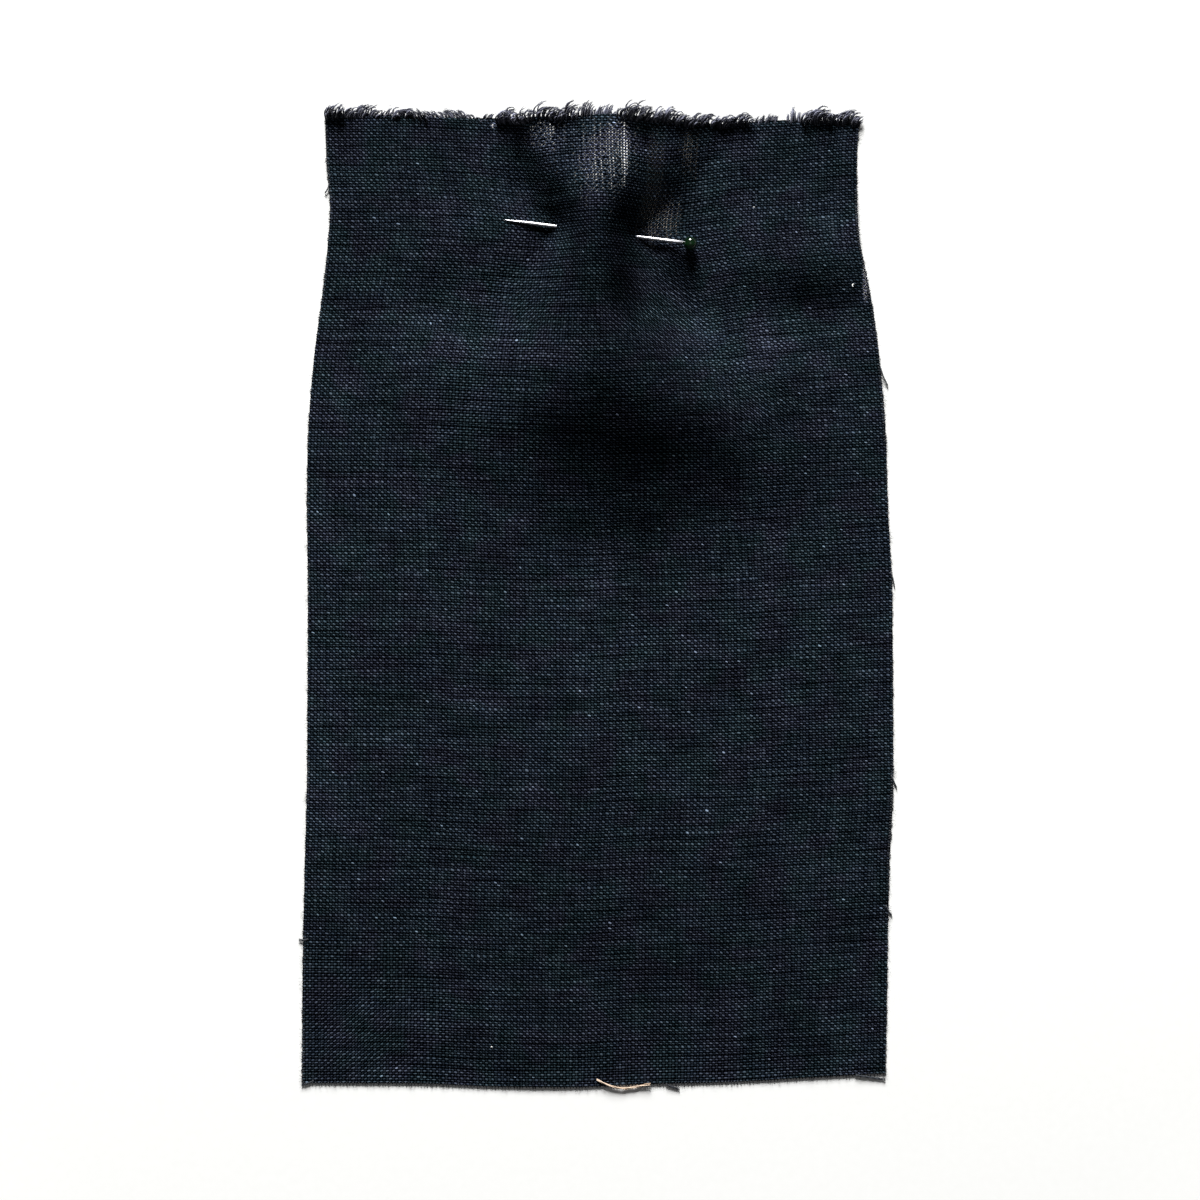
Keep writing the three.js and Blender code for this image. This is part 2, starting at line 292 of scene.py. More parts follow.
    def across(self, y: float, shares: np.ndarray) -> np.ndarray:
        """Space places out across one row of the cloth, measured over the ridge.

        Args:
            y: The row.
            shares: How far across each place is, from 0 at the left side to 1 at the right one.

        Returns:
            The places' X.
        """
        level = np.array([y])
        xs = np.linspace(self.sides.at("left", level)[0], self.sides.at("right", level)[0], self.fineness)
        steps = np.hypot(np.diff(xs), np.diff(self.lift(xs, np.full_like(xs, y))))
        run = np.concatenate([[0], np.cumsum(steps)])
        return np.interp(shares * run[-1], run, xs)

    def row_y(self, y: np.ndarray, x: np.ndarray) -> np.ndarray:
        """Bend a row of the cloth near the two ends to their cut edges.

        Args:
            y: The row's level, from lowest to highest.
            x: Places across it.

        Returns:
            The places' Y.
        """
        low = (self.bottom_edge.at("y", x) - self.lowest) * bell((y - self.lowest) / self.edge_fade)
        high = (self.top_edge.at("y", x) - self.highest) * bell((y - self.highest) / self.edge_fade)
        return y + low + high


# Shader building


class Value:
    """A shader socket that Python's operators join to others through Math nodes."""

    def __init__(self, graph: "Graph", socket: Socket) -> None:
        """Wrap a socket of a graph."""
        self.graph = graph
        self.socket = socket

    def math(self, operation: str, *others: Any) -> "Value":
        """Return a Math node's result on this value and others."""
        made = self.graph.node("ShaderNodeMath", {"operation": operation}, dict(enumerate((self, *others))))
        return Value(self.graph, made.outputs[0])

    def reflected(self, operation: str, other: Any) -> "Value":
        """Return a Math node's result with the other value first."""
        made = self.graph.node("ShaderNodeMath", {"operation": operation}, {0: other, 1: self})
        return Value(self.graph, made.outputs[0])

    def __add__(self, other: Any) -> "Value":
        """Return the sum."""
        return self.math("ADD", other)

    def __radd__(self, other: Any) -> "Value":
        """Return the sum."""
        return self.reflected("ADD", other)

    def __sub__(self, other: Any) -> "Value":
        """Return the difference."""
        return self.math("SUBTRACT", other)

    def __rsub__(self, other: Any) -> "Value":
        """Return the other value less this one."""
        return self.reflected("SUBTRACT", other)

    def __mul__(self, other: Any) -> "Value":
        """Return the product."""
        return self.math("MULTIPLY", other)

    def __rmul__(self, other: Any) -> "Value":
        """Return the product."""
        return self.reflected("MULTIPLY", other)

    def __truediv__(self, other: Any) -> "Value":
        """Return the quotient."""
        return self.math("DIVIDE", other)

    def __pow__(self, other: Any) -> "Value":
        """Return the power."""
        return self.math("POWER", other)

    def floor(self) -> "Value":
        """Return the whole number below."""
        return self.math("FLOOR")

    def root(self) -> "Value":
        """Return the square root."""
        return self.math("SQRT")

    def most(self, other: Any) -> "Value":
        """Return the larger of two values."""
        return self.math("MAXIMUM", other)

    def least(self, other: Any) -> "Value":
        """Return the smaller of two values."""
        return self.math("MINIMUM", other)

    def above(self, other: Any) -> "Value":
        """Return 1 where this value is the larger, or else 0."""
        return self.math("GREATER_THAN", other)

    def wave(self) -> "Value":
        """Return the sine of this many half turns."""
        return (self * math.pi).math("SINE")

    def sign_by_parity(self) -> "Value":
        """Return 1 on even whole numbers and -1 on odd ones."""
        return 1 - 2 * (self - 2 * (self * 0.5).floor())

    def between(self, low: float, high: float) -> "Value":
        """Return 0 up to the low mark, 1 from the high one and a straight rise between."""
        ranged = {"From Min": low, "From Max": high, "Value": self}
        return Value(self.graph, self.graph.node("ShaderNodeMapRange", {}, ranged).outputs[0])


class Graph:
    """A node tree that is built by calls."""

    def __init__(self, tree: bpy.types.NodeTree) -> None:
        """Empty the tree."""
        self.tree = tree
        tree.nodes.clear()

    def node(self, kind: str, settings: dict[str, Any], values: dict[str | int, Any]) -> bpy.types.Node:
        """Add a node.

        Args:
            kind: The node's type name.
            settings: Properties, set before any socket.
            values: Socket values by name or index; a Value or a socket is linked.

        Returns:
            The node.
        """
        made = self.tree.nodes.new(kind)
        for name, setting in settings.items():
            setattr(made, name, setting)
        for name, value in values.items():
            target = made.inputs[name]
            if isinstance(value, Value):
                self.tree.links.new(value.socket, target)
            elif isinstance(value, bpy.types.NodeSocket):
                self.tree.links.new(value, target)
            else:
                target.default_value = value
        return made

    def noise(self, x: Any, y: Any, detail: float = 0.0) -> Value:
        """Make smooth noise over two values, with one bump to a unit.

        Args:
            x: One value.
            y: The other value.
            detail: How many times finer noise is laid over it.

        Returns:
            A number from 0 to 1.
        """
        place = self.node("ShaderNodeCombineXYZ", {}, {"X": x, "Y": y})
        values = {"Vector": place.outputs[0], "Scale": 1.0, "Detail": detail}
        return Value(self, self.node("ShaderNodeTexNoise", {"noise_dimensions": "2D"}, values).outputs[0])

    def chance(self, x: Any, y: Any) -> Value:
        """Make an even random number for each pair of whole numbers.

        Args:
            x: One whole number.
            y: The other one.

        Returns:
            A number from 0 to 1.
        """
        place = self.node("ShaderNodeCombineXYZ", {}, {"X": x, "Y": y})
        made = self.node("ShaderNodeTexWhiteNoise", {"noise_dimensions": "2D"}, {"Vector": place.outputs[0]})
        return Value(self, made.outputs[0])

    def layer(self, name: Layer) -> Value:
        """Return a number that the mesh keeps at its points."""
        made = self.node("ShaderNodeAttribute", {"attribute_name": name.value}, {})
        return Value(self, made.outputs["Fac"])

    def mix(self, share: Any, first: Any, second: Any) -> Socket:
        """Return a mix of two colours."""
        made = self.node("ShaderNodeMix", {"data_type": "RGBA"}, {0: share, 6: first, 7: second})
        return made.outputs[2]

    def scaled(self, colour: Any, amount: Value) -> Socket:
        """Return a colour times a number."""
        made = self.node("ShaderNodeVectorMath", {"operation": "SCALE"}, {0: colour, "Scale": amount})
        return made.outputs[0]

    def bump(self, height: Value, distance: float, strength: float = 1.0) -> Socket:
        """Return the normal of a surface that a height stands out from."""
        values = {"Height": height, "Distance": distance, "Strength": strength}
        return self.node("ShaderNodeBump", {}, values).outputs[0]


def new_material(name: str) -> tuple[bpy.types.Material, Graph]:
    """Start a material.

    Args:
        name: The material's name.

    Returns:
        The empty material and its graph.
    """
    material = bpy.data.materials.new(name)
    material.use_nodes = True
    return material, Graph(material.node_tree)


def principled(graph: Graph, values: dict[str, Any]) -> None:
    """Finish a material with one principled surface that has these socket values."""
    surface = graph.node("ShaderNodeBsdfPrincipled", {}, values)
    graph.node("ShaderNodeOutputMaterial", {}, {"Surface": surface.outputs[0]})


@dataclass(frozen=True)
class WeaveFinish:
    """Dark plain-weave linen: slubby yarns that cross over and under, with open pinholes, painted shade that
    makes the gaps and yarn flanks black, and painted highlight on the crowns.

    Widths are shares of the yarns' pitch, and the other plain numbers are shares of the yarns' light.
    """

    blue: Colour = (0.40, 0.62, 1.0, 1.0)
    teal: Colour = (0.36, 0.72, 0.92, 1.0)
    violet: Colour = (0.50, 0.58, 1.0, 1.0)
    # Painted backlight colour where the yarns part.
    painted_backlight_lilac: Colour = (0.64, 0.61, 1.0, 1.0)
    painted_sheen_ash: Colour = (0.63, 0.77, 0.94, 1.0)
    # Colour of the painted glints in gaps.
    painted_glint_gold: Colour = (0.66, 0.61, 0.54, 1.0)
    # Painted shade and highlight: gaps and yarn flanks take the near-black colour, crowns the full crown
    # colour.
    hollow: float = 0.0003
    crown: float = 0.070
    crown_from: float = 0.62
    crown_to: float = 1.4
    crown_sharpness: float = 1.7
    warp_half_width: float = 0.36
    weft_half_width: float = 0.35
    # Painted highlight on the weft and painted shade on the warp: weft crowns are made lighter than warp
    # crowns.
    warp_tone_and_painted_shade: float = 0.4
    weft_tone_and_painted_highlight: float = 1.6
    warp_wobble: float = 0.55
    weft_wobble: float = 0.6
    warp_parting: float = 0.36
    weft_parting: float = 0.32
    crossing: float = 0.48
    twist: float = 0.36
    relief: float = 0.0001
    streaky: float = 0.6
    slubby: float = 1.1
    swelling: float = 0.7
    fleck_least: float = 0.7
    fleck_range: float = 0.6
    nep_share: float = 0.004
    nep_light: float = 1.6
    hole_reach: float = 1.8
    hole_uneven: float = 0.75
    # How much brighter the painted backlight makes the weave where it is open.
    painted_backlight_when_open: float = 3.4
    glint_reach: float = 1.1
    glint_uneven: float = 0.8
    glint_light: float = 0.7

    def thread(self, graph: Graph, index: Value, along: Value, key: float) -> tuple[Value, Value]:
        """Make a yarn's own light and thickness, which drift along it.

        Args:
            graph: The material's graph.
            index: The yarn's number.
            along: Where on the yarn, counted in the yarns that cross it.
            key: Tells the warp from the weft.

        Returns:
            The light and the thickness, both about 1.
        """
        slub = graph.noise(index * 7.31 + key, along * 0.11, 1.0)
        streak = graph.noise(index * 5.17 + key + 31, along * 0.03, 1.0)
        light = (1 + self.streaky * (streak - 0.5) + self.slubby * (slub - 0.5)).most(0.25)
        return light, 1 + self.swelling * (slub - 0.5)

    def crossings(
        self, graph: Graph, counts: tuple[Value, Value], yarns: tuple[Value, Value], openness: Value
    ) -> tuple[Value, Value]:
        """Lay the warp and the weft over and under each other.

        Args:
            graph: The material's graph.
            counts: Even counts of the warp and the weft.
            yarns: The same counts on yarns that waver.
            openness: How far the yarns part.

        Returns:
            How high the upper yarn stands, 0 in the gaps, and how light it is, with a painted highlight that
            makes the weft lighter than the warp.
        """
        u, v = counts
        warp, weft = yarns
        slant = graph.layer(Layer.SLANT) - self.twist
        end, pick = warp.floor(), weft.floor()
        across, along = warp - end - 0.5, weft - pick - 0.5
        warp_tone_and_painted_shade, warp_width = self.thread(graph, end, v, 3.0)
        weft_tone_and_painted_highlight, weft_width = self.thread(graph, pick, u, 57.0)
        patchy = graph.noise(u * 0.22, v * 0.13, 1.0).between(0.32, 0.62)
        parted = openness * (0.75 + 0.25 * patchy)
        warp_half = self.warp_half_width * warp_width * (1 - self.warp_parting * parted)
        weft_half = self.weft_half_width * weft_width * (1 - self.weft_parting * parted)
        warp_off = (across - slant * along) / warp_half
        weft_off = (along - slant * across) / weft_half
        warp_round = (1 - warp_off * warp_off).most(0.0).root()
        weft_round = (1 - weft_off * weft_off).most(0.0).root()
        warp_top = warp_round * (1 + self.crossing * end.sign_by_parity() * weft.wave())
        weft_top = weft_round * (1 - self.crossing * pick.sign_by_parity() * warp.wave())
        over = weft_top.above(warp_top)
        # The painted highlight makes the weft lighter than the warp where each is on top.
        light = over * weft_tone_and_painted_highlight * self.weft_tone_and_painted_highlight + (1 - over) * warp_tone_and_painted_shade * self.warp_tone_and_painted_shade
        return warp_top.most(weft_top), light

    def hue(self, graph: Graph, counts: tuple[Value, Value], paler: Value, openness: Value) -> Socket:
        """Mottle the dye, with a painted sheen that makes it paler on the yarns' crowns and a painted
        lavender backlight where they part.

        Args:
            graph: The material's graph.
            counts: Even counts of the warp and the weft.
            paler: Share of the painted sheen colour on the crowns.
            openness: How far the yarns part.

        Returns:
            The colour at full light.
        """
        u, v = counts
        hue = graph.mix(graph.noise(u * 0.09, v * 0.09, 1.0).between(0.35, 0.65), self.blue, self.teal)
        hue = graph.mix(graph.noise(u * 0.07 + 40, v * 0.08, 1.0).between(0.48, 0.68), hue, self.violet)
        # Painted sheen: the crowns turn paler and greyer.
        hue = graph.mix(paler, hue, self.painted_sheen_ash)
        # Painted backlight: the colour turns lavender where the yarns part.
        return graph.mix((openness * 0.9).least(0.9), hue, self.painted_backlight_lilac)

    def gaps(
        self, graph: Graph, yarns: tuple[Value, Value], openness: Value, between_yarns: Value
    ) -> tuple[Value, Value]:
        """Open some of the gaps between the yarns, mostly in lines along the warp.

        Args:
            graph: The material's graph.
            yarns: Counts of the warp and the weft on yarns that waver.
            openness: How far the yarns part.
            between_yarns: 1 in a gap and 0 on a yarn.

        Returns:
            How much of the cloth is open, and how much of a gap takes a painted glint.
        """
        warp, weft = yarns
        column = (warp + 0.5).floor()
        gap = 0.5 * graph.chance(column, 7.0) + 0.5 * graph.chance(column, (weft + 0.5).floor())
        hole = (openness * self.hole_reach - gap * self.hole_uneven).between(0.0, 0.6)
        closed = 1 - (openness * 3).least(1.0)
        glint = graph.layer(Layer.GLINT)
        glow = (glint * self.glint_reach - gap * self.glint_uneven).between(0.0, 0.8)
        return hole * between_yarns, glow * between_yarns * closed * self.glint_light

    def make(self) -> bpy.types.Material:
        """Build the weave from the cloth's yarn counts.

        Returns:
            The material.
        """
        material, graph = new_material("navy_linen")
        counted = graph.node("ShaderNodeUVMap", {"uv_map": Layer.WEAVE.value}, {})
        parts = graph.node("ShaderNodeSeparateXYZ", {}, {0: counted.outputs[0]})
        u, v = Value(graph, parts.outputs["X"]), Value(graph, parts.outputs["Y"])
        openness = graph.layer(Layer.OPENNESS)
        steady = 1 - openness.least(0.8)
        warp = u + self.warp_wobble * steady * (graph.noise(u * 0.8, v * 0.04) - 0.5)
        weft = v + self.weft_wobble * steady * (graph.noise(u * 0.035, v * 0.8) - 0.5)
        top, yarn = self.crossings(graph, (u, v), (warp, weft), openness)
        fleck = graph.chance(warp.floor(), weft.floor())
        light = yarn * (self.fleck_least + self.fleck_range * fleck)
        fibres = 0.7 + 0.6 * graph.noise(u * 5.0 + v * 2.0, v * 7.0, 1.0)
        nep = 1 + self.nep_light * fleck.above(1 - self.nep_share)
        # Painted shade and highlight: the colour rises from near black at the yarns' flanks to full on their
        # crowns.
        raised = top.between(self.crown_from, self.crown_to) ** self.crown_sharpness
        cloudy = 0.6 + 0.8 * graph.noise(u * 0.06, v * 0.06, 2.0)
        streaks = 0.7 + 0.6 * graph.noise(u * 0.05, v * 0.35, 1.0)
        # Random cloudy and streaky tone, times the sheet's painted light and shade.
        broad_tone_and_painted_shade = cloudy * streaks * graph.layer(Layer.PAINTED_LIGHT_AND_SHADE)
        tone = (self.hollow + self.crown * raised * light * fibres * nep) * broad_tone_and_painted_shade
        # The painted sheen follows the crowns and random flecks.
        hue = self.hue(graph, (u, v), raised * (0.3 + 0.5 * fleck), openness)
        # Painted backlight: the weave gets brighter where the yarns part.
        woven = graph.scaled(hue, tone * (1 + self.painted_backlight_when_open * openness))
        hole, glow = self.gaps(graph, (warp, weft), openness, 1 - top.between(0.0, 0.25))
        principled(
            graph,
            {
                # Painted glints take over some gaps.
                "Base Color": graph.mix(glow, woven, self.painted_glint_gold),
                "Roughness": 0.95,
                "Specular IOR Level": 0.0,
                "Alpha": 1 - hole,
                "Normal": graph.bump(top, self.relief),
            },
        )
        return material


@dataclass(frozen=True)
class YarnFinish:
    """Loose linen fibre, each strand its own tone, with painted shade where the tufts root and painted
    highlight along the strands.
    """

    name: str
    colour: Colour
    pale: Colour
    shine: float = 0.3
    grain_scale: float = 4200.0
    relief: float = 0.00003

    def make(self) -> bpy.types.Material:
        """Build the fibre's colour from the strands' tones.

        Returns:
            The material.
        """
        material, graph = new_material(self.name)
        place = graph.node("ShaderNodeTexCoord", {}, {}).outputs["Object"]
        values = {"Vector": place, "Scale": self.grain_scale, "Detail": 1.0}
        speck = Value(graph, graph.node("ShaderNodeTexNoise", {}, values).outputs[0])
        # The tone layer carries painted shade and highlight as well as each strand's own tone.
        paler = (graph.layer(Layer.TONE) * (0.55 + 0.9 * speck)).least(1.0)
        principled(
            graph,
            {
                "Base Color": graph.mix(paler, self.colour, self.pale),
                "Roughness": 0.6,
                "Specular IOR Level": self.shine,
                "Sheen Weight": 0.1,
                "Normal": graph.bump(speck, self.relief, 0.6),
            },
        )
        return material


@dataclass(frozen=True)
class SteelFinish:
    """Drawn pin steel, bright, with faint lengthways draw marks."""

    colour: Colour = (0.86, 0.86, 0.9, 1.0)
    marks: tuple[float, float, float] = (60.0, 9000.0, 9000.0)
    relief: float = 0.000004

    def make(self) -> bpy.types.Material:
        """Build the steel.

        Returns:
            The material.
        """
        material, graph = new_material("bright_steel")
        place = graph.node("ShaderNodeTexCoord", {}, {}).outputs["Object"]
        stretched = graph.node("ShaderNodeMapping", {}, {"Vector": place, "Scale": self.marks})
        values = {"Vector": stretched.outputs[0], "Scale": 1.0}
        worn = Value(graph, graph.node("ShaderNodeTexNoise", {}, values).outputs[0])
        principled(
            graph,
            {
                "Base Color": self.colour,
                "Metallic": 1.0,
                "Roughness": 0.42 + 0.1 * worn,
                "Normal": graph.bump(worn, self.relief),
            },
        )
        return material


@dataclass(frozen=True)
class GlassFinish:
    """Bottle-green glass with faint swirls, and a painted glow of passed light on the side away from the
    light.
    """

    deep: Colour = (0.0022, 0.008, 0.0028, 1.0)
    # Colour of the painted glow of passed light.
    lit: Colour = (0.004, 0.045, 0.008, 1.0)
    relief: float = 0.00002

    def make(self) -> bpy.types.Material:
        """Build the glass.

        Returns:
            The material.
        """
        material, graph = new_material("bottle_green_glass")
        place = graph.node("ShaderNodeTexCoord", {}, {}).outputs["Generated"]
        parts = graph.node("ShaderNodeSeparateXYZ", {}, {0: place})
        far = 1 - Value(graph, parts.outputs["Y"])
        swirl = Value(graph, graph.node("ShaderNodeTexNoise", {}, {"Vector": place, "Scale": 3.0}).outputs[0])
        # Painted glow: the green gets brighter towards -Y, away from the light.
        painted_passed_light = (far + 0.3 * (swirl - 0.5)).between(0.35, 0.95)
        principled(
            graph,
            {
                "Base Color": graph.mix(painted_passed_light, self.deep, self.lit),
                "Roughness": 0.06,
                "IOR": 1.5,
                "Coat Weight": 0.6,
                "Coat Roughness": 0.03,
                "Normal": graph.bump(swirl, self.relief),
            },
        )
        return material


@dataclass(frozen=True)
class FloorFinish:
    """Matte white board with the faintest grain, which fades into the white surround far from the cloth."""

    white: Colour = (0.93, 0.93, 0.915, 1.0)
    shade: Colour = (0.90, 0.90, 0.88, 1.0)
    dark: Colour = (0.0, 0.0, 0.0, 1.0)
    glow: Colour = (0.90, 0.91, 0.93, 1.0)
    fade_from: float = 0.14
    fade_to: float = 1.1

    def make(self) -> bpy.types.Material:
        """Build the board.

        Returns:
            The material.
        """
        material, graph = new_material("white_board")
        place = graph.node("ShaderNodeTexCoord", {}, {}).outputs["Object"]
        grain = graph.node("ShaderNodeTexNoise", {}, {"Vector": place, "Scale": 700.0, "Detail": 2.0})
        colour = graph.mix(Value(graph, grain.outputs[0]), self.white, self.shade)
        far = graph.node("ShaderNodeVectorMath", {"operation": "LENGTH"}, {0: place}).outputs["Value"]
        glow = graph.mix(Value(graph, far).between(self.fade_from, self.fade_to), self.dark, self.glow)
        principled(
            graph,
            {
                "Base Color": colour,
                "Roughness": 0.95,
                "Specular IOR Level": 0.1,
                "Emission Color": glow,
                "Emission Strength": 1.0,
            },
        )
        return material


# Mesh building


def new_piece(
    name: str, points: np.ndarray, faces: list[Sequence[int]], finish: bpy.types.Material
) -> bpy.types.Object:
    """Add a smooth mesh that rides on the part's body.

    Args:
        name: The piece's name.
        points: Its vertices, one row each.
        faces: Vertex indices of each face.
        finish: Its material.

    Returns:
        The piece.
    """
    mesh = bpy.data.meshes.new(name)
    mesh.from_pydata(points.tolist(), [], faces)
    mesh.shade_smooth()
    mesh.materials.append(finish)
    piece = bpy.data.objects.new(name, mesh)
    bpy.context.scene.collection.objects.link(piece)
    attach(piece, "root")
    return piece


def keep_layer(piece: bpy.types.Object, name: Layer, values: np.ndarray) -> None:
    """Keep a number at each of a mesh's points."""
    layer = piece.data.attributes.new(name.value, "FLOAT", "POINT")
    layer.data.foreach_set("value", np.ascontiguousarray(values, dtype=np.float32))


class Strands:
    """Many thin tapered strands, gathered into one mesh."""

    def __init__(self) -> None:
        """Start with no strands."""
        self.points: list[np.ndarray] = []
        self.tones: list[np.ndarray] = []
        self.faces: list[Sequence[int]] = []
        self.count = 0

    def add(self, lines: np.ndarray, radii: np.ndarray, tones: np.ndarray, sides: int = 3) -> None:
        """Add strands that all have the same number of points.

        Args:
            lines: Their centre lines, shaped strand, point, axis.
            radii: Their radius at each point, shaped strand, point.
            tones: How pale each strand is at each point, shaped strand, point.
            sides: Corners of their section.
        """
        number, steps, _ = lines.shape
        run = np.gradient(lines, axis=1)
        run /= np.maximum(np.linalg.norm(run, axis=2, keepdims=True), 1e-12)
        reference = np.where(np.abs(run[..., 2:]) > 0.9, [1.0, 0.0, 0.0], [0.0, 0.0, 1.0])
        beside = np.cross(run, reference)
        beside /= np.maximum(np.linalg.norm(beside, axis=2, keepdims=True), 1e-12)
        raised = np.cross(beside, run)
        turn = 2 * np.pi * np.arange(sides) / sides
        ring = np.cos(turn)[:, None] * beside[:, :, None, :] + np.sin(turn)[:, None] * raised[:, :, None, :]
        points = lines[:, :, None, :] + radii[:, :, None, None] * ring
        self.points.append(points.reshape(-1, 3))
        self.tones.append(np.repeat(tones.reshape(-1), sides))
        corner = np.arange(number * steps * sides).reshape(number, steps, sides) + self.count
        after = np.roll(corner, -1, axis=2)
        walls = np.stack([corner[:, :-1], after[:, :-1], after[:, 1:], corner[:, 1:]], axis=-1)
        self.faces += walls.reshape(-1, 4).tolist()
        self.faces += corner[:, 0, ::-1].tolist() + corner[:, -1].tolist()
        self.count += number * steps * sides

    def piece(self, name: str, finish: bpy.types.Material) -> bpy.types.Object:
        """Join all strands in one piece.

        Args:
            name: The piece's name.
            finish: Its material.

        Returns:
            The piece.
        """
        made = new_piece(name, np.concatenate(self.points), self.faces, finish)
        keep_layer(made, Layer.TONE, np.concatenate(self.tones))
        return made


@dataclass
class ClothSheet:
    """The woven sheet itself, on the folds of its CAD solid."""

    drape: Drape
    ripples: Ripples = Ripples()
    finish: WeaveFinish = WeaveFinish()
    columns: int = 240
    rows: int = 360
    stand: float = 0.0005
    flat: tuple[float, float] = (0.106, 0.1765)
    settle: float = 0.6
    settle_reach: float = 0.012
    # Painted shade over the raised cloth inside the tuck: the lift where it is full, its strength, and where
    # it fades out near the mouth; then the least painted light.
    painted_shade_from: float = 0.0065
    painted_shade_share: float = 0.38
    mouth: float = 0.080
    mouth_fade: float = 0.014
    least_painted_light: float = 0.1
    puckers: Table = Table(
        "x y across along height",
        (
            (-0.0120, 0.0660, 0.0120, 0.0090, 0.00072),
            (0.0125, 0.0632, 0.0100, 0.0080, 0.00100),
        ),
    )
    pinholes: Table = Table(
        "x y across along amount",
        (
            (0.0051, 0.0785, 0.0010, 0.0080, 0.40),
            (0.0046, 0.0820, 0.0050, 0.0085, 0.10),
            (0.0012, 0.0775, 0.0092, 0.0135, 0.29),
            (-0.0095, 0.0830, 0.0065, 0.0075, 0.26),
            (-0.0188, 0.0850, 0.0012, 0.0007, 0.8),
            (0.0487, 0.0570, 0.0008, 0.0060, 1.0),
        ),
    )
    # Places where gaps take a painted glint.
    glints: Table = Table(
        "x y across along amount",
        (
            (0.0167, 0.0800, 0.0032, 0.0090, 0.8),
            (0.0112, 0.0690, 0.0072, 0.0090, 0.9),
            (0.0105, 0.0780, 0.0040, 0.0100, 0.6),
            (-0.0100, 0.0770, 0.0060, 0.0070, 0.3),
        ),
    )
    # Painted spots of light and shade on the weave: amounts over 0 lighten it, amounts under 0 darken it.
    painted_light_and_shade_spots: Table = Table(
        "x y across along amount",
        (
            (0.0105, 0.0750, 0.0070, 0.0140, 1.6),
            (-0.0105, 0.0755, 0.0060, 0.0110, 0.8),
            (-0.0430, -0.0800, 0.0180, 0.0140, 0.20),
            (-0.0230, 0.0430, 0.0100, 0.0070, 0.32),
            (0.0300, 0.0440, 0.0100, 0.0060, 0.20),
            (-0.0380, 0.0680, 0.0220, 0.0220, -0.12),
            (0.0360, 0.0720, 0.0200, 0.0180, -0.20),
            (-0.0500, -0.0200, 0.0060, 0.0500, 0.22),
            (0.0060, 0.0260, 0.0300, 0.0120, -0.36),
            (0.0040, 0.0130, 0.0300, 0.0090, -0.30),
            (0.0400, 0.0535, 0.0130, 0.0060, -0.50),
            (-0.0080, 0.0430, 0.0140, 0.0060, 0.30),
            (0.0125, 0.0695, 0.0070, 0.0070, -0.85),
            (0.0048, 0.0560, 0.0055, 0.0110, -0.45),
            (0.0, -0.0600, 0.0900, 0.0450, -0.18),
        ),
    )
    slants: Table = Table(
        "x y across along amount",
        (
            (-0.0120, 0.0520, 0.0130, 0.0180, 0.7),
            (0.0110, 0.0520, 0.0130, 0.0160, -0.7),
            (-0.0220, 0.0330, 0.0160, 0.0120, 0.4),
            (0.0280, 0.0330, 0.0160, 0.0120, -0.4),
            (-0.0440, -0.0800, 0.0260, 0.0240, 0.8),
            (0.0080, -0.0880, 0.0500, 0.0080, 0.35),
            (0.0030, 0.0780, 0.0130, 0.0150, 0.40),
            (-0.0105, 0.0830, 0.0070, 0.0080, 0.36),
            (0.0150, 0.0740, 0.0080, 0.0140, 0.36),
        ),
    )

    def surface(self, x: np.ndarray, y: np.ndarray) -> np.ndarray:
        """Lay the sheet on the folds, lower at its cut edges and raised to the pin.

        Args:
            x: Places across the cloth.
            y: Places along it.

        Returns:
            The height of the sheet's middle over the floor.
        """
        drape = self.drape
        beside = np.minimum(x - drape.sides.at("left", y), drape.sides.at("right", y) - x)
        inset = np.clip(np.minimum(beside, y - drape.bottom_edge.at("y", x)), 0, None)
        settled = 1 - self.settle * bell(inset / self.settle_reach)
        loose = (self.stand + self.ripples.height(x, y)) * settled
        return drape.lift(x, y) + loose + self.spots(self.puckers, x, y)

    def spots(self, table: Table, x: np.ndarray, y: np.ndarray) -> np.ndarray:
        """Add a table's soft round spots up.

        Args:
            table: Each spot's middle, its reach both ways and its amount.
            x: Places across the cloth.
            y: Places along it.

        Returns:
            How strongly the spots show at each place.
        """
        shown = np.zeros_like(x)
        for middle, level, across, along, amount in table.rows:
            away = np.hypot((x - middle) / across, (y - level) / along)
            shown = shown + amount * bell(away)
        return shown

    def painted_light_and_shade(self, x: np.ndarray, y: np.ndarray) -> np.ndarray:
        """Paint light and shade into the weave: painted board light up through the yarns, painted shade over
        the raised cloth inside the tuck, and painted spots of both.

        Args:
            x: Places across the cloth.
            y: Places along it.

        Returns:
            The painted light at each place, 1 on flat cloth.
        """
        raised = np.clip(self.drape.lift(x, y) / self.painted_shade_from, 0, 1)
        inside = np.clip((self.mouth - y) / self.mouth_fade, 0, 1)
        # Painted shade over the raised cloth inside the tuck, plus the painted spots of light and shade.
        darker = self.painted_shade_share * raised * raised * (3 - 2 * raised) * inside
        return np.maximum(1 - darker + self.spots(self.painted_light_and_shade_spots, x, y), self.least_painted_light)

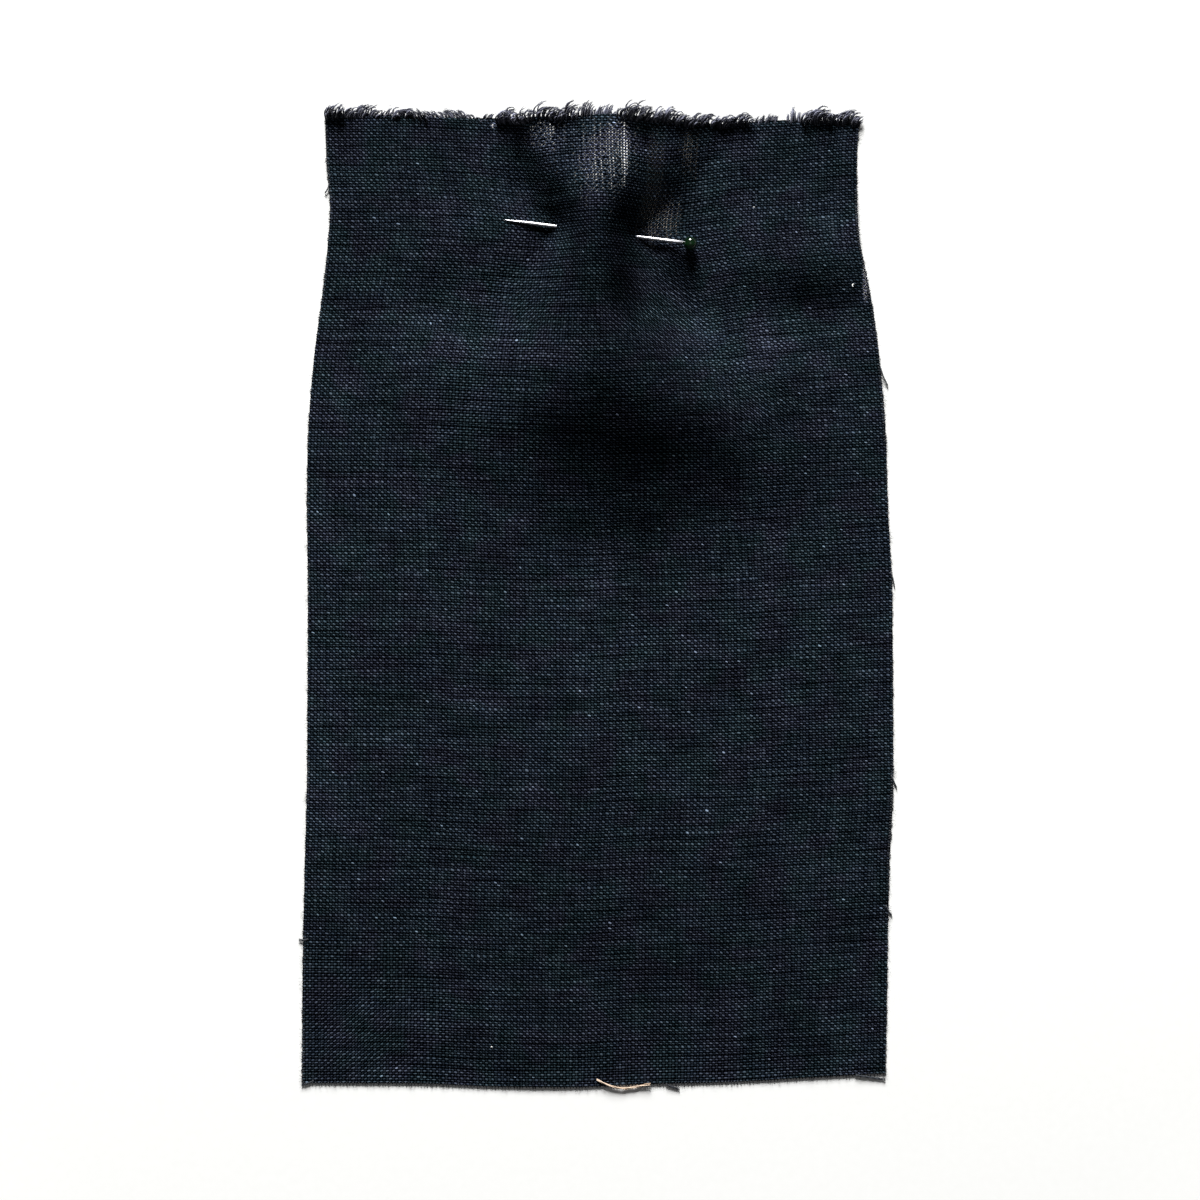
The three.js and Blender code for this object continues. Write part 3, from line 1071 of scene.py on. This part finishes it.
    def build(self) -> bpy.types.Object:
        """Weave the sheet, with its yarns counted along its own folds.

        Returns:
            The sheet.
        """
        drape = self.drape
        shares = np.linspace(0, 1, self.columns + 1)
        levels = np.linspace(drape.lowest, drape.highest, self.rows + 1)
        x = np.array([drape.across(level, shares) for level in levels])
        y = drape.row_y(levels[:, None], x)
        z = self.surface(x, y)
        steps = np.sqrt(np.diff(y, axis=0) ** 2 + np.diff(z, axis=0) ** 2)
        run = np.concatenate([np.zeros((1, x.shape[1])), np.cumsum(steps, axis=0)])
        warp = np.broadcast_to(shares * self.flat[0] / WARP_PITCH, x.shape)
        weft = run / WEFT_PITCH
        index = np.arange(x.size).reshape(x.shape)
        corners = [index[:-1, :-1], index[:-1, 1:], index[1:, 1:], index[1:, :-1]]
        faces = np.stack(corners, axis=-1).reshape(-1, 4)
        points = np.stack([x, y, z], axis=-1).reshape(-1, 3)
        piece = new_piece("cloth_sheet", points, faces.tolist(), self.finish.make())
        counts = np.stack([warp.ravel(), weft.ravel()], axis=-1)[faces.ravel()]
        uv = piece.data.uv_layers.new(name=Layer.WEAVE.value)
        uv.data.foreach_set("uv", counts.astype(np.float32).ravel())
        for layer, table in self.spotted():
            keep_layer(piece, layer, self.spots(table, x, y).ravel())
        keep_layer(piece, Layer.PAINTED_LIGHT_AND_SHADE, self.painted_light_and_shade(x, y).ravel())
        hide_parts("cloth")
        return piece

    def spotted(self) -> list[tuple[Layer, Table]]:
        """Return the layers that are soft spots alone, with their tables."""
        return [(Layer.OPENNESS, self.pinholes), (Layer.SLANT, self.slants), (Layer.GLINT, self.glints)]


@dataclass
class TuftedEdge:
    """The top edge's yarn ends, unravelled into tufts of curly fibre."""

    drape: Drape
    # The second colour is a painted lavender highlight.
    finish: YarnFinish = YarnFinish("tuft_fibre", (0.012, 0.014, 0.024, 1.0), (0.38, 0.39, 0.52, 1.0), 0.3)
    seed: int = 5
    pitch: float = 0.00045
    layers: int = 3
    steps: int = 10
    yarn_radius: float = 0.00016
    fibre_radius: float = 0.00004
    hair_radius: float = 0.000016
    fibres: int = 3
    hairs: int = 110
    first: float = -0.0494
    last: float = 0.0476
    fineness: int = 1500
    root_height: float = 0.00025
    # The pale column sets how strongly each tuft takes the painted highlight.
    tufts: Table = Table(
        "start end reach lean curl pale stand",
        (
            (-0.0500, -0.0459, 0.0019, -0.2, 1.3, 0.4, 0.9),
            (-0.0457, -0.0400, 0.0022, -0.3, 1.9, 0.35, 0.3),
            (-0.0397, -0.0372, 0.0016, 0.3, 0.6, 0.4, 0.3),
            (-0.0370, -0.0338, 0.0022, -0.5, 2.6, 0.5, 0.5),
            (-0.0335, -0.0308, 0.0017, 0.1, -1.0, 0.2, 0.9),
            (-0.0303, -0.0223, 0.0020, 0.3, -1.9, 0.4, 0.25),
            (-0.0220, -0.0180, 0.0013, 0.2, 0.9, 0.3, 0.5),
            (-0.0177, -0.0138, 0.0025, -0.4, 2.4, 0.9, 0.8),
            (-0.0134, -0.0070, 0.0025, -0.4, 2.2, 0.5, 0.8),
            (-0.0064, -0.0036, 0.0029, -0.2, 1.4, 0.7, 0.5),
            (-0.0034, -0.0010, 0.0030, 0.1, 0.4, 0.3, 0.3),
            (-0.0008, 0.0034, 0.0019, -0.2, 1.1, 0.7, 0.2),
            (0.0038, 0.0084, 0.0028, -0.5, 2.3, 0.4, 0.8),
            (0.0088, 0.0148, 0.0026, -0.5, 2.3, 0.5, 0.5),
            (0.0156, 0.0212, 0.0023, -0.6, 2.5, 0.4, 0.5),
            (0.0215, 0.0243, 0.0022, -0.6, 2.6, 0.6, 0.8),
            (0.0247, 0.0276, 0.0021, -0.6, 2.6, 0.4, 0.8),
            (0.0280, 0.0326, 0.0017, -0.2, 0.9, 0.3, 0.2),
            (0.0328, 0.0344, 0.0005, 0.1, 0.5, 0.2, 0.1),
            (0.0346, 0.0372, 0.0023, -0.2, 0.3, 0.9, 0.3),
            (0.0374, 0.0422, 0.0026, -0.5, 2.4, 0.5, 0.8),
            (0.0426, 0.0468, 0.0027, -0.4, 2.2, 0.6, 0.4),
            (0.0470, 0.0478, 0.0016, 0.4, 0.6, 0.8, 0.3),
        ),
    )

    def roots(self) -> np.ndarray:
        """Space the yarn ends evenly over the ridge.

        Returns:
            Their places along X.
        """
        xs = np.linspace(self.first, self.last, self.fineness)
        z = self.drape.lift(xs, self.drape.top_edge.at("y", xs))
        run = np.concatenate([[0], np.cumsum(np.hypot(np.diff(xs), np.diff(z)))])
        return np.interp(np.arange(0, run[-1], self.pitch), run, xs)

    def build(self) -> bpy.types.Object:
        """Grow a yarn and its fibres from each root.

        Returns:
            All tufts as one piece.
        """
        chance = np.random.default_rng(self.seed)
        strands = Strands()
        x = np.repeat(self.roots(), self.layers)
        x = x + chance.uniform(-0.5, 0.5, x.size) * self.pitch
        row = np.array([self.tuft_of(place) for place in x])
        start, end, reach, lean, curl, pale, stand = row.T
        middle, half = (start + end) / 2, (end - start) / 2
        fullness = 0.7 + 0.4 * bell((x - middle) / half)
        length = reach * fullness * chance.uniform(0.6, 1.05, x.size) * (1 + 0.2 * np.abs(curl))
        t = np.linspace(0, 1, self.steps)
        turn = lean + chance.normal(0, 0.10, x.size)
        bend = curl * chance.uniform(0.8, 1.2, x.size)
        heading = turn[:, None] + bend[:, None] * t ** 1.3
        rise = chance.uniform(0.5, 1.0, x.size) * stand * reach
        y = self.drape.top_edge.at("y", x) - chance.uniform(0.0002, 0.0012, x.size)
        lines = self.grow(x, y, length, heading, rise)
        radii = self.yarn_radius * chance.uniform(0.75, 1.25, x.size)[:, None] * (1 - 0.7 * t ** 2)
        # Painted highlight along the middle of each strand, painted shade at its root and tip.
        glow = 0.12 + 0.88 * bell((t - 0.6) / 0.5)
        tone = pale[:, None] * chance.uniform(0.0, 1.0, x.size)[:, None] ** 1.8 * glow
        strands.add(lines, radii, tone, 4)
        self.unravel(strands, lines, pale[:, None] * glow, chance)
        self.fuzz(strands, chance)
        piece = strands.piece("tufted_edge", self.finish.make())
        parts = ("left", "left_flank", "crest", "right_flank", "right")
        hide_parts(*(f"fringe_{part}" for part in parts))
        return piece

    def tuft_of(self, x: float) -> tuple[float, ...]:
        """Return the tuft that a yarn end belongs to."""
        return min(self.tufts.rows, key=lambda row: max(row[0] - x, x - row[1], 0))

    def grow(
        self, x: np.ndarray, y: np.ndarray, length: np.ndarray, heading: np.ndarray, rise: np.ndarray
    ) -> np.ndarray:
        """Make centre lines that leave the edge and stand up off the cloth.

        Args:
            x: Their roots' X.
            y: Their roots' Y.
            length: How long they are.
            heading: Their angles from +Y at each point, shaped strand, point.
            rise: How high they stand off the cloth.

        Returns:
            The lines, shaped strand, point, axis.
        """
        up = self.drape.normal(x, y)
        beside = np.stack([up[:, 2], np.zeros_like(x), -up[:, 0]], axis=-1)
        beside /= np.linalg.norm(beside, axis=1, keepdims=True)
        out = np.array([0.0, 1.0, 0.0])
        steps = heading.shape[1]
        t = np.linspace(0, 1, steps)
        stride = (length / (steps - 1))[:, None]
        over = np.cumsum(np.sin(heading) * stride, axis=1) - np.sin(heading[:, :1]) * stride
        away = np.cumsum(np.cos(heading) * stride, axis=1) - np.cos(heading[:, :1]) * stride
        stand = rise[:, None] * np.sin(0.75 * np.pi * t)
        root = np.stack([x, y, self.drape.lift(x, y)], axis=-1) + self.root_height * up
        return (
            root[:, None, :]
            + over[:, :, None] * beside[:, None, :]
            + away[:, :, None] * out
            + stand[:, :, None] * up[:, None, :]
        )

    def unravel(
        self, strands: Strands, lines: np.ndarray, pale: np.ndarray, chance: np.random.Generator
    ) -> None:
        """Add the fibres that wind round each yarn and part from it near its tip.

        Args:
            strands: Where they go.
            lines: The yarns' centre lines.
            pale: How pale the yarns are at each point, their painted highlight included.
            chance: The tufts' random numbers.
        """
        number, steps, _ = lines.shape
        t = np.linspace(0, 1, steps)
        for _ in range(self.fibres):
            phase = chance.uniform(0, 2 * np.pi, number)[:, None]
            twist = phase + chance.uniform(3, 8, number)[:, None] * t
            spread = 0.00010 + chance.uniform(0.00005, 0.00028, number)[:, None] * t ** 2
            moved = lines.copy()
            moved[:, :, 0] += spread * np.cos(twist)
            moved[:, :, 1] += spread * np.sin(twist) * 0.7 + chance.uniform(0, 0.0002, number)[:, None] * t
            moved[:, :, 2] += spread * np.sin(twist + 1.3) * 0.8
            radii = self.fibre_radius * chance.uniform(0.7, 1.5, number)[:, None] * (1 - 0.6 * t)
            tone = pale * chance.uniform(0.1, 1.0, number)[:, None]
            strands.add(moved, radii, tone)

    def fuzz(self, strands: Strands, chance: np.random.Generator) -> None:
        """Add the finest stray hairs, which stand out past the tufts.

        Args:
            strands: Where they go.
            chance: The tufts' random numbers.
        """
        x = chance.uniform(self.first, self.last, self.hairs)
        y = self.drape.top_edge.at("y", x)
        length = chance.uniform(0.0010, 0.0030, x.size)
        t = np.linspace(0, 1, self.steps)
        heading = chance.normal(0, 0.5, x.size)[:, None] + chance.normal(0, 0.9, x.size)[:, None] * t
        lines = self.grow(x, y, length, heading, chance.uniform(0.1, 0.8, x.size) * length)
        radii = np.full((x.size, self.steps), self.hair_radius)
        strands.add(lines, radii, np.full_like(radii, 0.3))


@dataclass
class RawEdges:
    """Cut yarn ends and lint along the two sides and the bottom."""

    drape: Drape
    finish: YarnFinish = YarnFinish("cut_yarn", (0.006, 0.0075, 0.010, 1.0), (0.06, 0.065, 0.08, 1.0))
    seed: int = 23
    steps: int = 4
    radius: float = 0.00012
    hair_radius: float = 0.000018
    hair_rise: float = 0.0002
    side_inset: float = 0.0004
    bottom_inset: float = 0.0002
    height: float = 0.0002
    droop: float = 0.00004
    lowest: float = 0.00012
    bottom_from: float = -0.0534
    bottom_to: float = 0.0523

    def build(self) -> bpy.types.Object:
        """Set the cut ends along their edges.

        Returns:
            All cut ends as one piece.
        """
        chance = np.random.default_rng(self.seed)
        strands = Strands()
        levels = np.arange(self.drape.lowest + self.bottom_inset, self.drape.highest, WEFT_PITCH)
        for side, out in (("left", -1.0), ("right", 1.0)):
            x = self.drape.sides.at(side, levels)
            y = self.drape.row_y(levels, x)
            self.ends(strands, chance, x - out * self.side_inset, y, np.full_like(x, math.pi / 2 * out))
        x = np.arange(self.bottom_from, self.bottom_to, WARP_PITCH)
        y = self.drape.bottom_edge.at("y", x)
        self.ends(strands, chance, x, y + self.bottom_inset, np.full_like(x, math.pi))
        piece = strands.piece("raw_edges", self.finish.make())
        return piece

    def ends(
        self, strands: Strands, chance: np.random.Generator, x: np.ndarray, y: np.ndarray, heading: np.ndarray
    ) -> None:
        """Add one edge's cut ends and the hairs between them.

        Args:
            strands: Where they go.
            chance: The edges' random numbers.
            x: Their roots' X.
            y: Their roots' Y.
            heading: Which way they point, as an angle from +Y.
        """
        t = np.linspace(0, 1, self.steps)
        turned = heading + chance.normal(0, 0.22, x.size)
        length = chance.uniform(0.00040, 0.00065, x.size)
        root = np.stack([x, y, self.drape.lift(x, y) + self.height], axis=-1)
        strands.add(
            self.lines(root, turned, length, 0.0),
            self.radius * chance.uniform(0.75, 1.2, x.size)[:, None] * (1 - 0.35 * t ** 2),
            chance.uniform(0, 0.5, x.size)[:, None] * np.ones(self.steps),
            5,
        )
        hairs = chance.integers(0, x.size, x.size)
        turned = heading[hairs] + chance.normal(0, 0.6, x.size)
        length = chance.uniform(0.0005, 0.0012, x.size)
        radii = np.full((x.size, self.steps), self.hair_radius)
        strands.add(self.lines(root[hairs], turned, length, self.hair_rise), radii, np.full_like(radii, 0.4))

    def lines(self, root: np.ndarray, heading: np.ndarray, length: np.ndarray, rise: float) -> np.ndarray:
        """Make short straight centre lines.

        Args:
            root: Where they start, one row each.
            heading: Which way they point, as an angle from +Y.
            length: How long they are.
            rise: How far they climb.

        Returns:
            The lines, shaped strand, point, axis.
        """
        t = np.linspace(0, 1, self.steps)
        away = length[:, None] * t
        x = root[:, :1] + away * np.sin(heading)[:, None]
        y = root[:, 1:2] + away * np.cos(heading)[:, None]
        z = np.maximum(root[:, 2:] + rise * t - self.droop * t, self.lowest)
        return np.stack([x, y, z], axis=-1)


@dataclass
class LooseThreads:
    """Yarn ends that have worked loose, a stray tan thread and specks of lint."""

    drape: Drape
    navy: YarnFinish = YarnFinish("loose_yarn", (0.008, 0.010, 0.014, 1.0), (0.045, 0.052, 0.065, 1.0))
    tan: YarnFinish = YarnFinish("tan_thread", (0.30, 0.19, 0.11, 1.0), (0.75, 0.62, 0.50, 1.0))
    lint: YarnFinish = YarnFinish("white_lint", (0.75, 0.75, 0.72, 1.0), (0.9, 0.9, 0.88, 1.0))
    seed: int = 41
    steps: int = 14
    plies: int = 3
    end_radius: float = 0.00017
    stray_radius: float = 0.00018
    speck_radius: float = 0.00009
    speck_height: float = 0.00055
    ends: tuple[Line, ...] = (
        ((0.0515, 0.0412, 0.0003), (0.0521, 0.0394, 0.00035), (0.0529, 0.0378, 0.0002)),
        ((-0.0487, 0.0745, 0.0003), (-0.0490, 0.0735, 0.00035), (-0.0495, 0.0729, 0.0002)),
        ((-0.0525, -0.0627, 0.0003), (-0.0533, -0.0629, 0.0003), (-0.0542, -0.0628, 0.0002)),
        ((0.0533, 0.0040, 0.0003), (0.0538, 0.0027, 0.0003), (0.0541, 0.0012, 0.0002)),
        ((0.0535, -0.0330, 0.0003), (0.0541, -0.0344, 0.0002), (0.0545, -0.0352, 0.0002)),
        ((0.0525, -0.0566, 0.0003), (0.0531, -0.0578, 0.0002), (0.0536, -0.0583, 0.0002)),
        ((-0.0515, -0.0884, 0.0002), (-0.0525, -0.0889, 0.0002), (-0.0537, -0.0892, 0.0002)),
        ((0.0470, -0.0874, 0.0003), (0.0500, -0.0879, 0.0002), (0.0524, -0.0882, 0.0002)),
        ((0.0125, -0.0890, 0.0003), (0.0137, -0.0896, 0.0002), (0.0150, -0.0899, 0.0002)),
    )
    stray: Line = (
        (-0.0001, -0.0882, 0.0005),
        (0.0029, -0.0895, 0.00045),
        (0.0048, -0.0898, 0.0003),
        (0.0073, -0.0896, 0.00035),
        (0.0097, -0.0890, 0.0005),
    )
    specks: tuple[tuple[float, float], ...] = (
        (0.0156, 0.0729),
        (0.0285, 0.0700),
        (0.0465, 0.0560),
        (-0.0191, -0.0824),
    )

    def smooth(self, places: Line) -> np.ndarray:
        """Draw a smooth line through a few places.

        Args:
            places: The places, from end to end.

        Returns:
            The line, shaped as one strand of points.
        """
        marks = np.array(places)
        t = np.linspace(0, 1, len(marks))
        fine = np.linspace(0, 1, self.steps)
        degree = min(len(t) - 1, 3)
        bends = np.array([np.polyval(np.polyfit(t, marks[:, axis], degree), fine) for axis in range(3)])
        return bends.T[None]

    def bundle(self, strands: Strands, line: np.ndarray, radius: float) -> None:
        """Add a yarn of several plies that wind round one line.

        Args:
            strands: Where it goes.
            line: Its centre line.
            radius: Its radius over all plies.
        """
        chance = np.random.default_rng(self.seed + strands.count)
        t = np.linspace(0, 1, self.steps)
        for ply in range(self.plies):
            phase = 2 * np.pi * ply / self.plies + 9 * t
            moved = line.copy()
            moved[0, :, 1] += radius * 0.55 * np.cos(phase) * (1 + 0.8 * t ** 2)
            moved[0, :, 2] += radius * 0.55 * np.sin(phase)
            radii = radius * 0.6 * chance.uniform(0.8, 1.1) * (1 - 0.4 * t ** 3)
            # Painted highlight: each ply is paler where it winds over the top of the yarn.
            tone = chance.uniform(0.2, 0.8) * (0.6 + 0.4 * np.sin(phase))
            strands.add(moved, radii[None], tone[None], 4)

    def build(self) -> list[bpy.types.Object]:
        """Lay out the loose ends, the stray thread and the lint.

        Returns:
            The three pieces.
        """
        yarns = Strands()
        for end in self.ends:
            self.bundle(yarns, self.smooth(end), self.end_radius)
        loose = yarns.piece("loose_yarn_ends", self.navy.make())
        thread = Strands()
        self.bundle(thread, self.smooth(self.stray), self.stray_radius)
        stray = thread.piece("stray_tan_thread", self.tan.make())
        lint = self.lint_specks()
        return [loose, stray, lint]

    def lint_specks(self) -> bpy.types.Object:
        """Drop the specks, each a curled scrap of fibre that lies on the cloth.

        Returns:
            All specks as one piece.
        """
        chance = np.random.default_rng(self.seed)
        scraps = Strands()
        t = np.linspace(0, 1, self.steps)
        for x, y in self.specks:
            turn = chance.uniform(0, 2 * np.pi) + 4 * t
            z = self.drape.lift(np.array([x]), np.array([y]))[0] + self.speck_height
            line = np.stack([x + 0.00016 * np.cos(turn), y + 0.00022 * np.sin(turn), z + 0.0001 * t], axis=-1)
            radii = np.full((1, self.steps), self.speck_radius)
            scraps.add(line[None], radii, np.full_like(radii, 0.5), 5)
        return scraps.piece("lint", self.lint.make())


@dataclass
class DressmakerPin:
    """The glass-headed pin that holds the tuck, from its point to the middle of its head."""

    point: Vector = Vector((-0.0169, 0.0678, 0.00175))
    head: Vector = Vector((0.0169, 0.0634, 0.0027))
    radius: float = 0.0003
    taper: float = 0.005
    ball: float = 0.001225
    steps: int = 12
    shaft_sides: int = 24
    ball_sides: int = 48
    ball_rings: int = 36
    steel: SteelFinish = SteelFinish()
    glass: GlassFinish = GlassFinish()

    def turned(
        self, name: str, outline: np.ndarray, sides: int, finish: bpy.types.Material
    ) -> bpy.types.Object:
        """Add a turned piece along the pin.

        Args:
            name: The piece's name.
            outline: Rows of distance from the point and radius there.
            sides: Corners of its section.
            finish: Its material.

        Returns:
            The piece.
        """
        along = (self.head - self.point).normalized()
        beside = along.cross(Vector((0, 0, 1))).normalized()
        raised = beside.cross(along)
        turn = 2 * np.pi * np.arange(sides) / sides
        ring = np.cos(turn)[:, None] * np.array(beside) + np.sin(turn)[:, None] * np.array(raised)
        middles = np.array(self.point) + outline[:, 0, None, None] * np.array(along)
        points = middles + outline[:, 1, None, None] * ring
        corner = np.arange(len(outline) * sides).reshape(-1, sides)
        after = np.roll(corner, -1, axis=1)
        walls = np.stack([corner[:-1], corner[1:], after[1:], after[:-1]], axis=-1).reshape(-1, 4)
        faces = [*walls.tolist(), corner[0].tolist(), corner[-1, ::-1].tolist()]
        return new_piece(name, points.reshape(-1, 3), faces, finish)

    def build(self) -> list[bpy.types.Object]:
        """Make the steel shaft and the glass ball with its drawn collar.

        Returns:
            The shaft and the ball.
        """
        run = (self.head - self.point).length
        t = np.linspace(0, 1, self.steps)
        taper = np.stack([self.taper * t, self.radius * (0.06 + 0.94 * t ** 0.75)], axis=-1)
        along = np.linspace(self.taper * 1.05, run - self.ball * 0.4, self.steps)
        outline = np.vstack([taper, np.stack([along, np.full_like(along, self.radius)], axis=-1)])
        shaft = self.turned("pin_steel_shaft", outline, self.shaft_sides, self.steel.make())
        angle = np.linspace(0.26, math.pi - 0.02, self.ball_rings)
        ball = np.stack([run - self.ball * np.cos(angle), self.ball * np.sin(angle)], axis=-1)
        collar = [[run - self.ball * 1.13, self.radius * 1.08], [run - self.ball * 1.04, self.radius * 1.25]]
        head = self.turned("pin_glass_head", np.vstack([collar, ball]), self.ball_sides, self.glass.make())
        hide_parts("pin_shaft")
        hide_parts("pin_head")
        return [shaft, head]


@dataclass
class Studio:
    """The white board, the lights and the camera straight above."""

    centre: Vector = Vector((0.00055, -0.00109, 0.0))
    height: float = 0.5
    lens: float = 82.5
    board: float = 3.0
    board_sides: int = 96
    board_level: float = -0.00002
    surround: Colour = (0.97, 0.98, 1.0, 1.0)
    key_elevation: float = 22.0
    key_azimuth: float = 5.0
    key_distance: float = 2.4
    key_size: float = 0.84
    key_power: float = 178.0
    top_height: float = 1.0
    top_size: float = 0.5
    top_power: float = 0.35
    ambient: float = 0.05

    def build(self) -> None:
        """Set up everything that isn't the object."""
        self.lay_board()
        angle, turn = math.radians(self.key_elevation), math.radians(self.key_azimuth)
        level = math.cos(angle)
        away = Vector((-math.sin(turn) * level, math.cos(turn) * level, math.sin(angle)))
        self.add_light("key_light", away * self.key_distance, self.key_size, self.key_power)
        self.add_light("top_light", Vector((0, 0, self.top_height)), self.top_size, self.top_power)
        self.set_world()
        self.set_camera()

    def lay_board(self) -> None:
        """Lay a round white board under the cloth."""
        turn = 2 * np.pi * np.arange(self.board_sides) / self.board_sides
        level = np.full_like(turn, self.board_level)
        rim = np.stack([self.board * np.cos(turn), self.board * np.sin(turn), level], axis=-1)
        board = new_piece("board", rim, [list(range(self.board_sides))], FloorFinish().make())

    def add_light(self, name: str, place: Vector, size: float, power: float) -> None:
        """Add a square soft light that faces the cloth.

        Args:
            name: The light's name.
            place: Where its middle is.
            size: How long its sides are.
            power: Its power in watts.
        """
        data = bpy.data.lights.new(name, "AREA")
        data.size = size
        data.energy = power
        light = bpy.data.objects.new(name, data)
        light.location = place
        light.rotation_euler = place.to_track_quat("Z", "Y").to_euler()
        bpy.context.scene.collection.objects.link(light)

    def set_world(self) -> None:
        """Give a low even light and a white surround."""
        world = bpy.data.worlds.new("surround")
        world.use_nodes = True
        graph = Graph(world.node_tree)
        seen = graph.node("ShaderNodeLightPath", {}, {}).outputs["Is Camera Ray"]
        strength = Value(graph, seen) * (1.0 - self.ambient) + self.ambient
        light = graph.node("ShaderNodeBackground", {}, {"Color": self.surround, "Strength": strength})
        graph.node("ShaderNodeOutputWorld", {}, {"Surface": light.outputs[0]})
        bpy.context.scene.world = world
        bpy.context.scene.view_settings.view_transform = "Standard"

    def set_camera(self) -> None:
        """Hold the camera straight above, with the long edge of the cloth upright in its frame."""
        data = bpy.data.cameras.new("camera")
        data.lens = self.lens
        data.sensor_width = 36.0
        camera = bpy.data.objects.new("camera", data)
        camera.location = self.centre + Vector((0, 0, self.height))
        bpy.context.scene.collection.objects.link(camera)
        bpy.context.scene.camera = camera


def report(name: str, *pieces: bpy.types.Object) -> None:
    """Log a sub-assembly and the number of its faces."""
    logger.info("%s: %d faces", name, sum(len(piece.data.polygons) for piece in pieces))


def main() -> None:
    """Build the dressed model around the frame."""
    logging.basicConfig(level=logging.INFO, format="%(message)s")
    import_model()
    Studio().build()
    drape = Drape()
    sheet = ClothSheet(drape).build()
    report("sheet", sheet)
    tufts = TuftedEdge(drape).build()
    report("tufted edge", tufts)
    raw = RawEdges(drape).build()
    report("raw edges", raw)
    loose = LooseThreads(drape).build()
    report("loose threads", *loose)
    pin = DressmakerPin().build()
    report("pin", *pin)


if __name__ == "__main__":
    main()
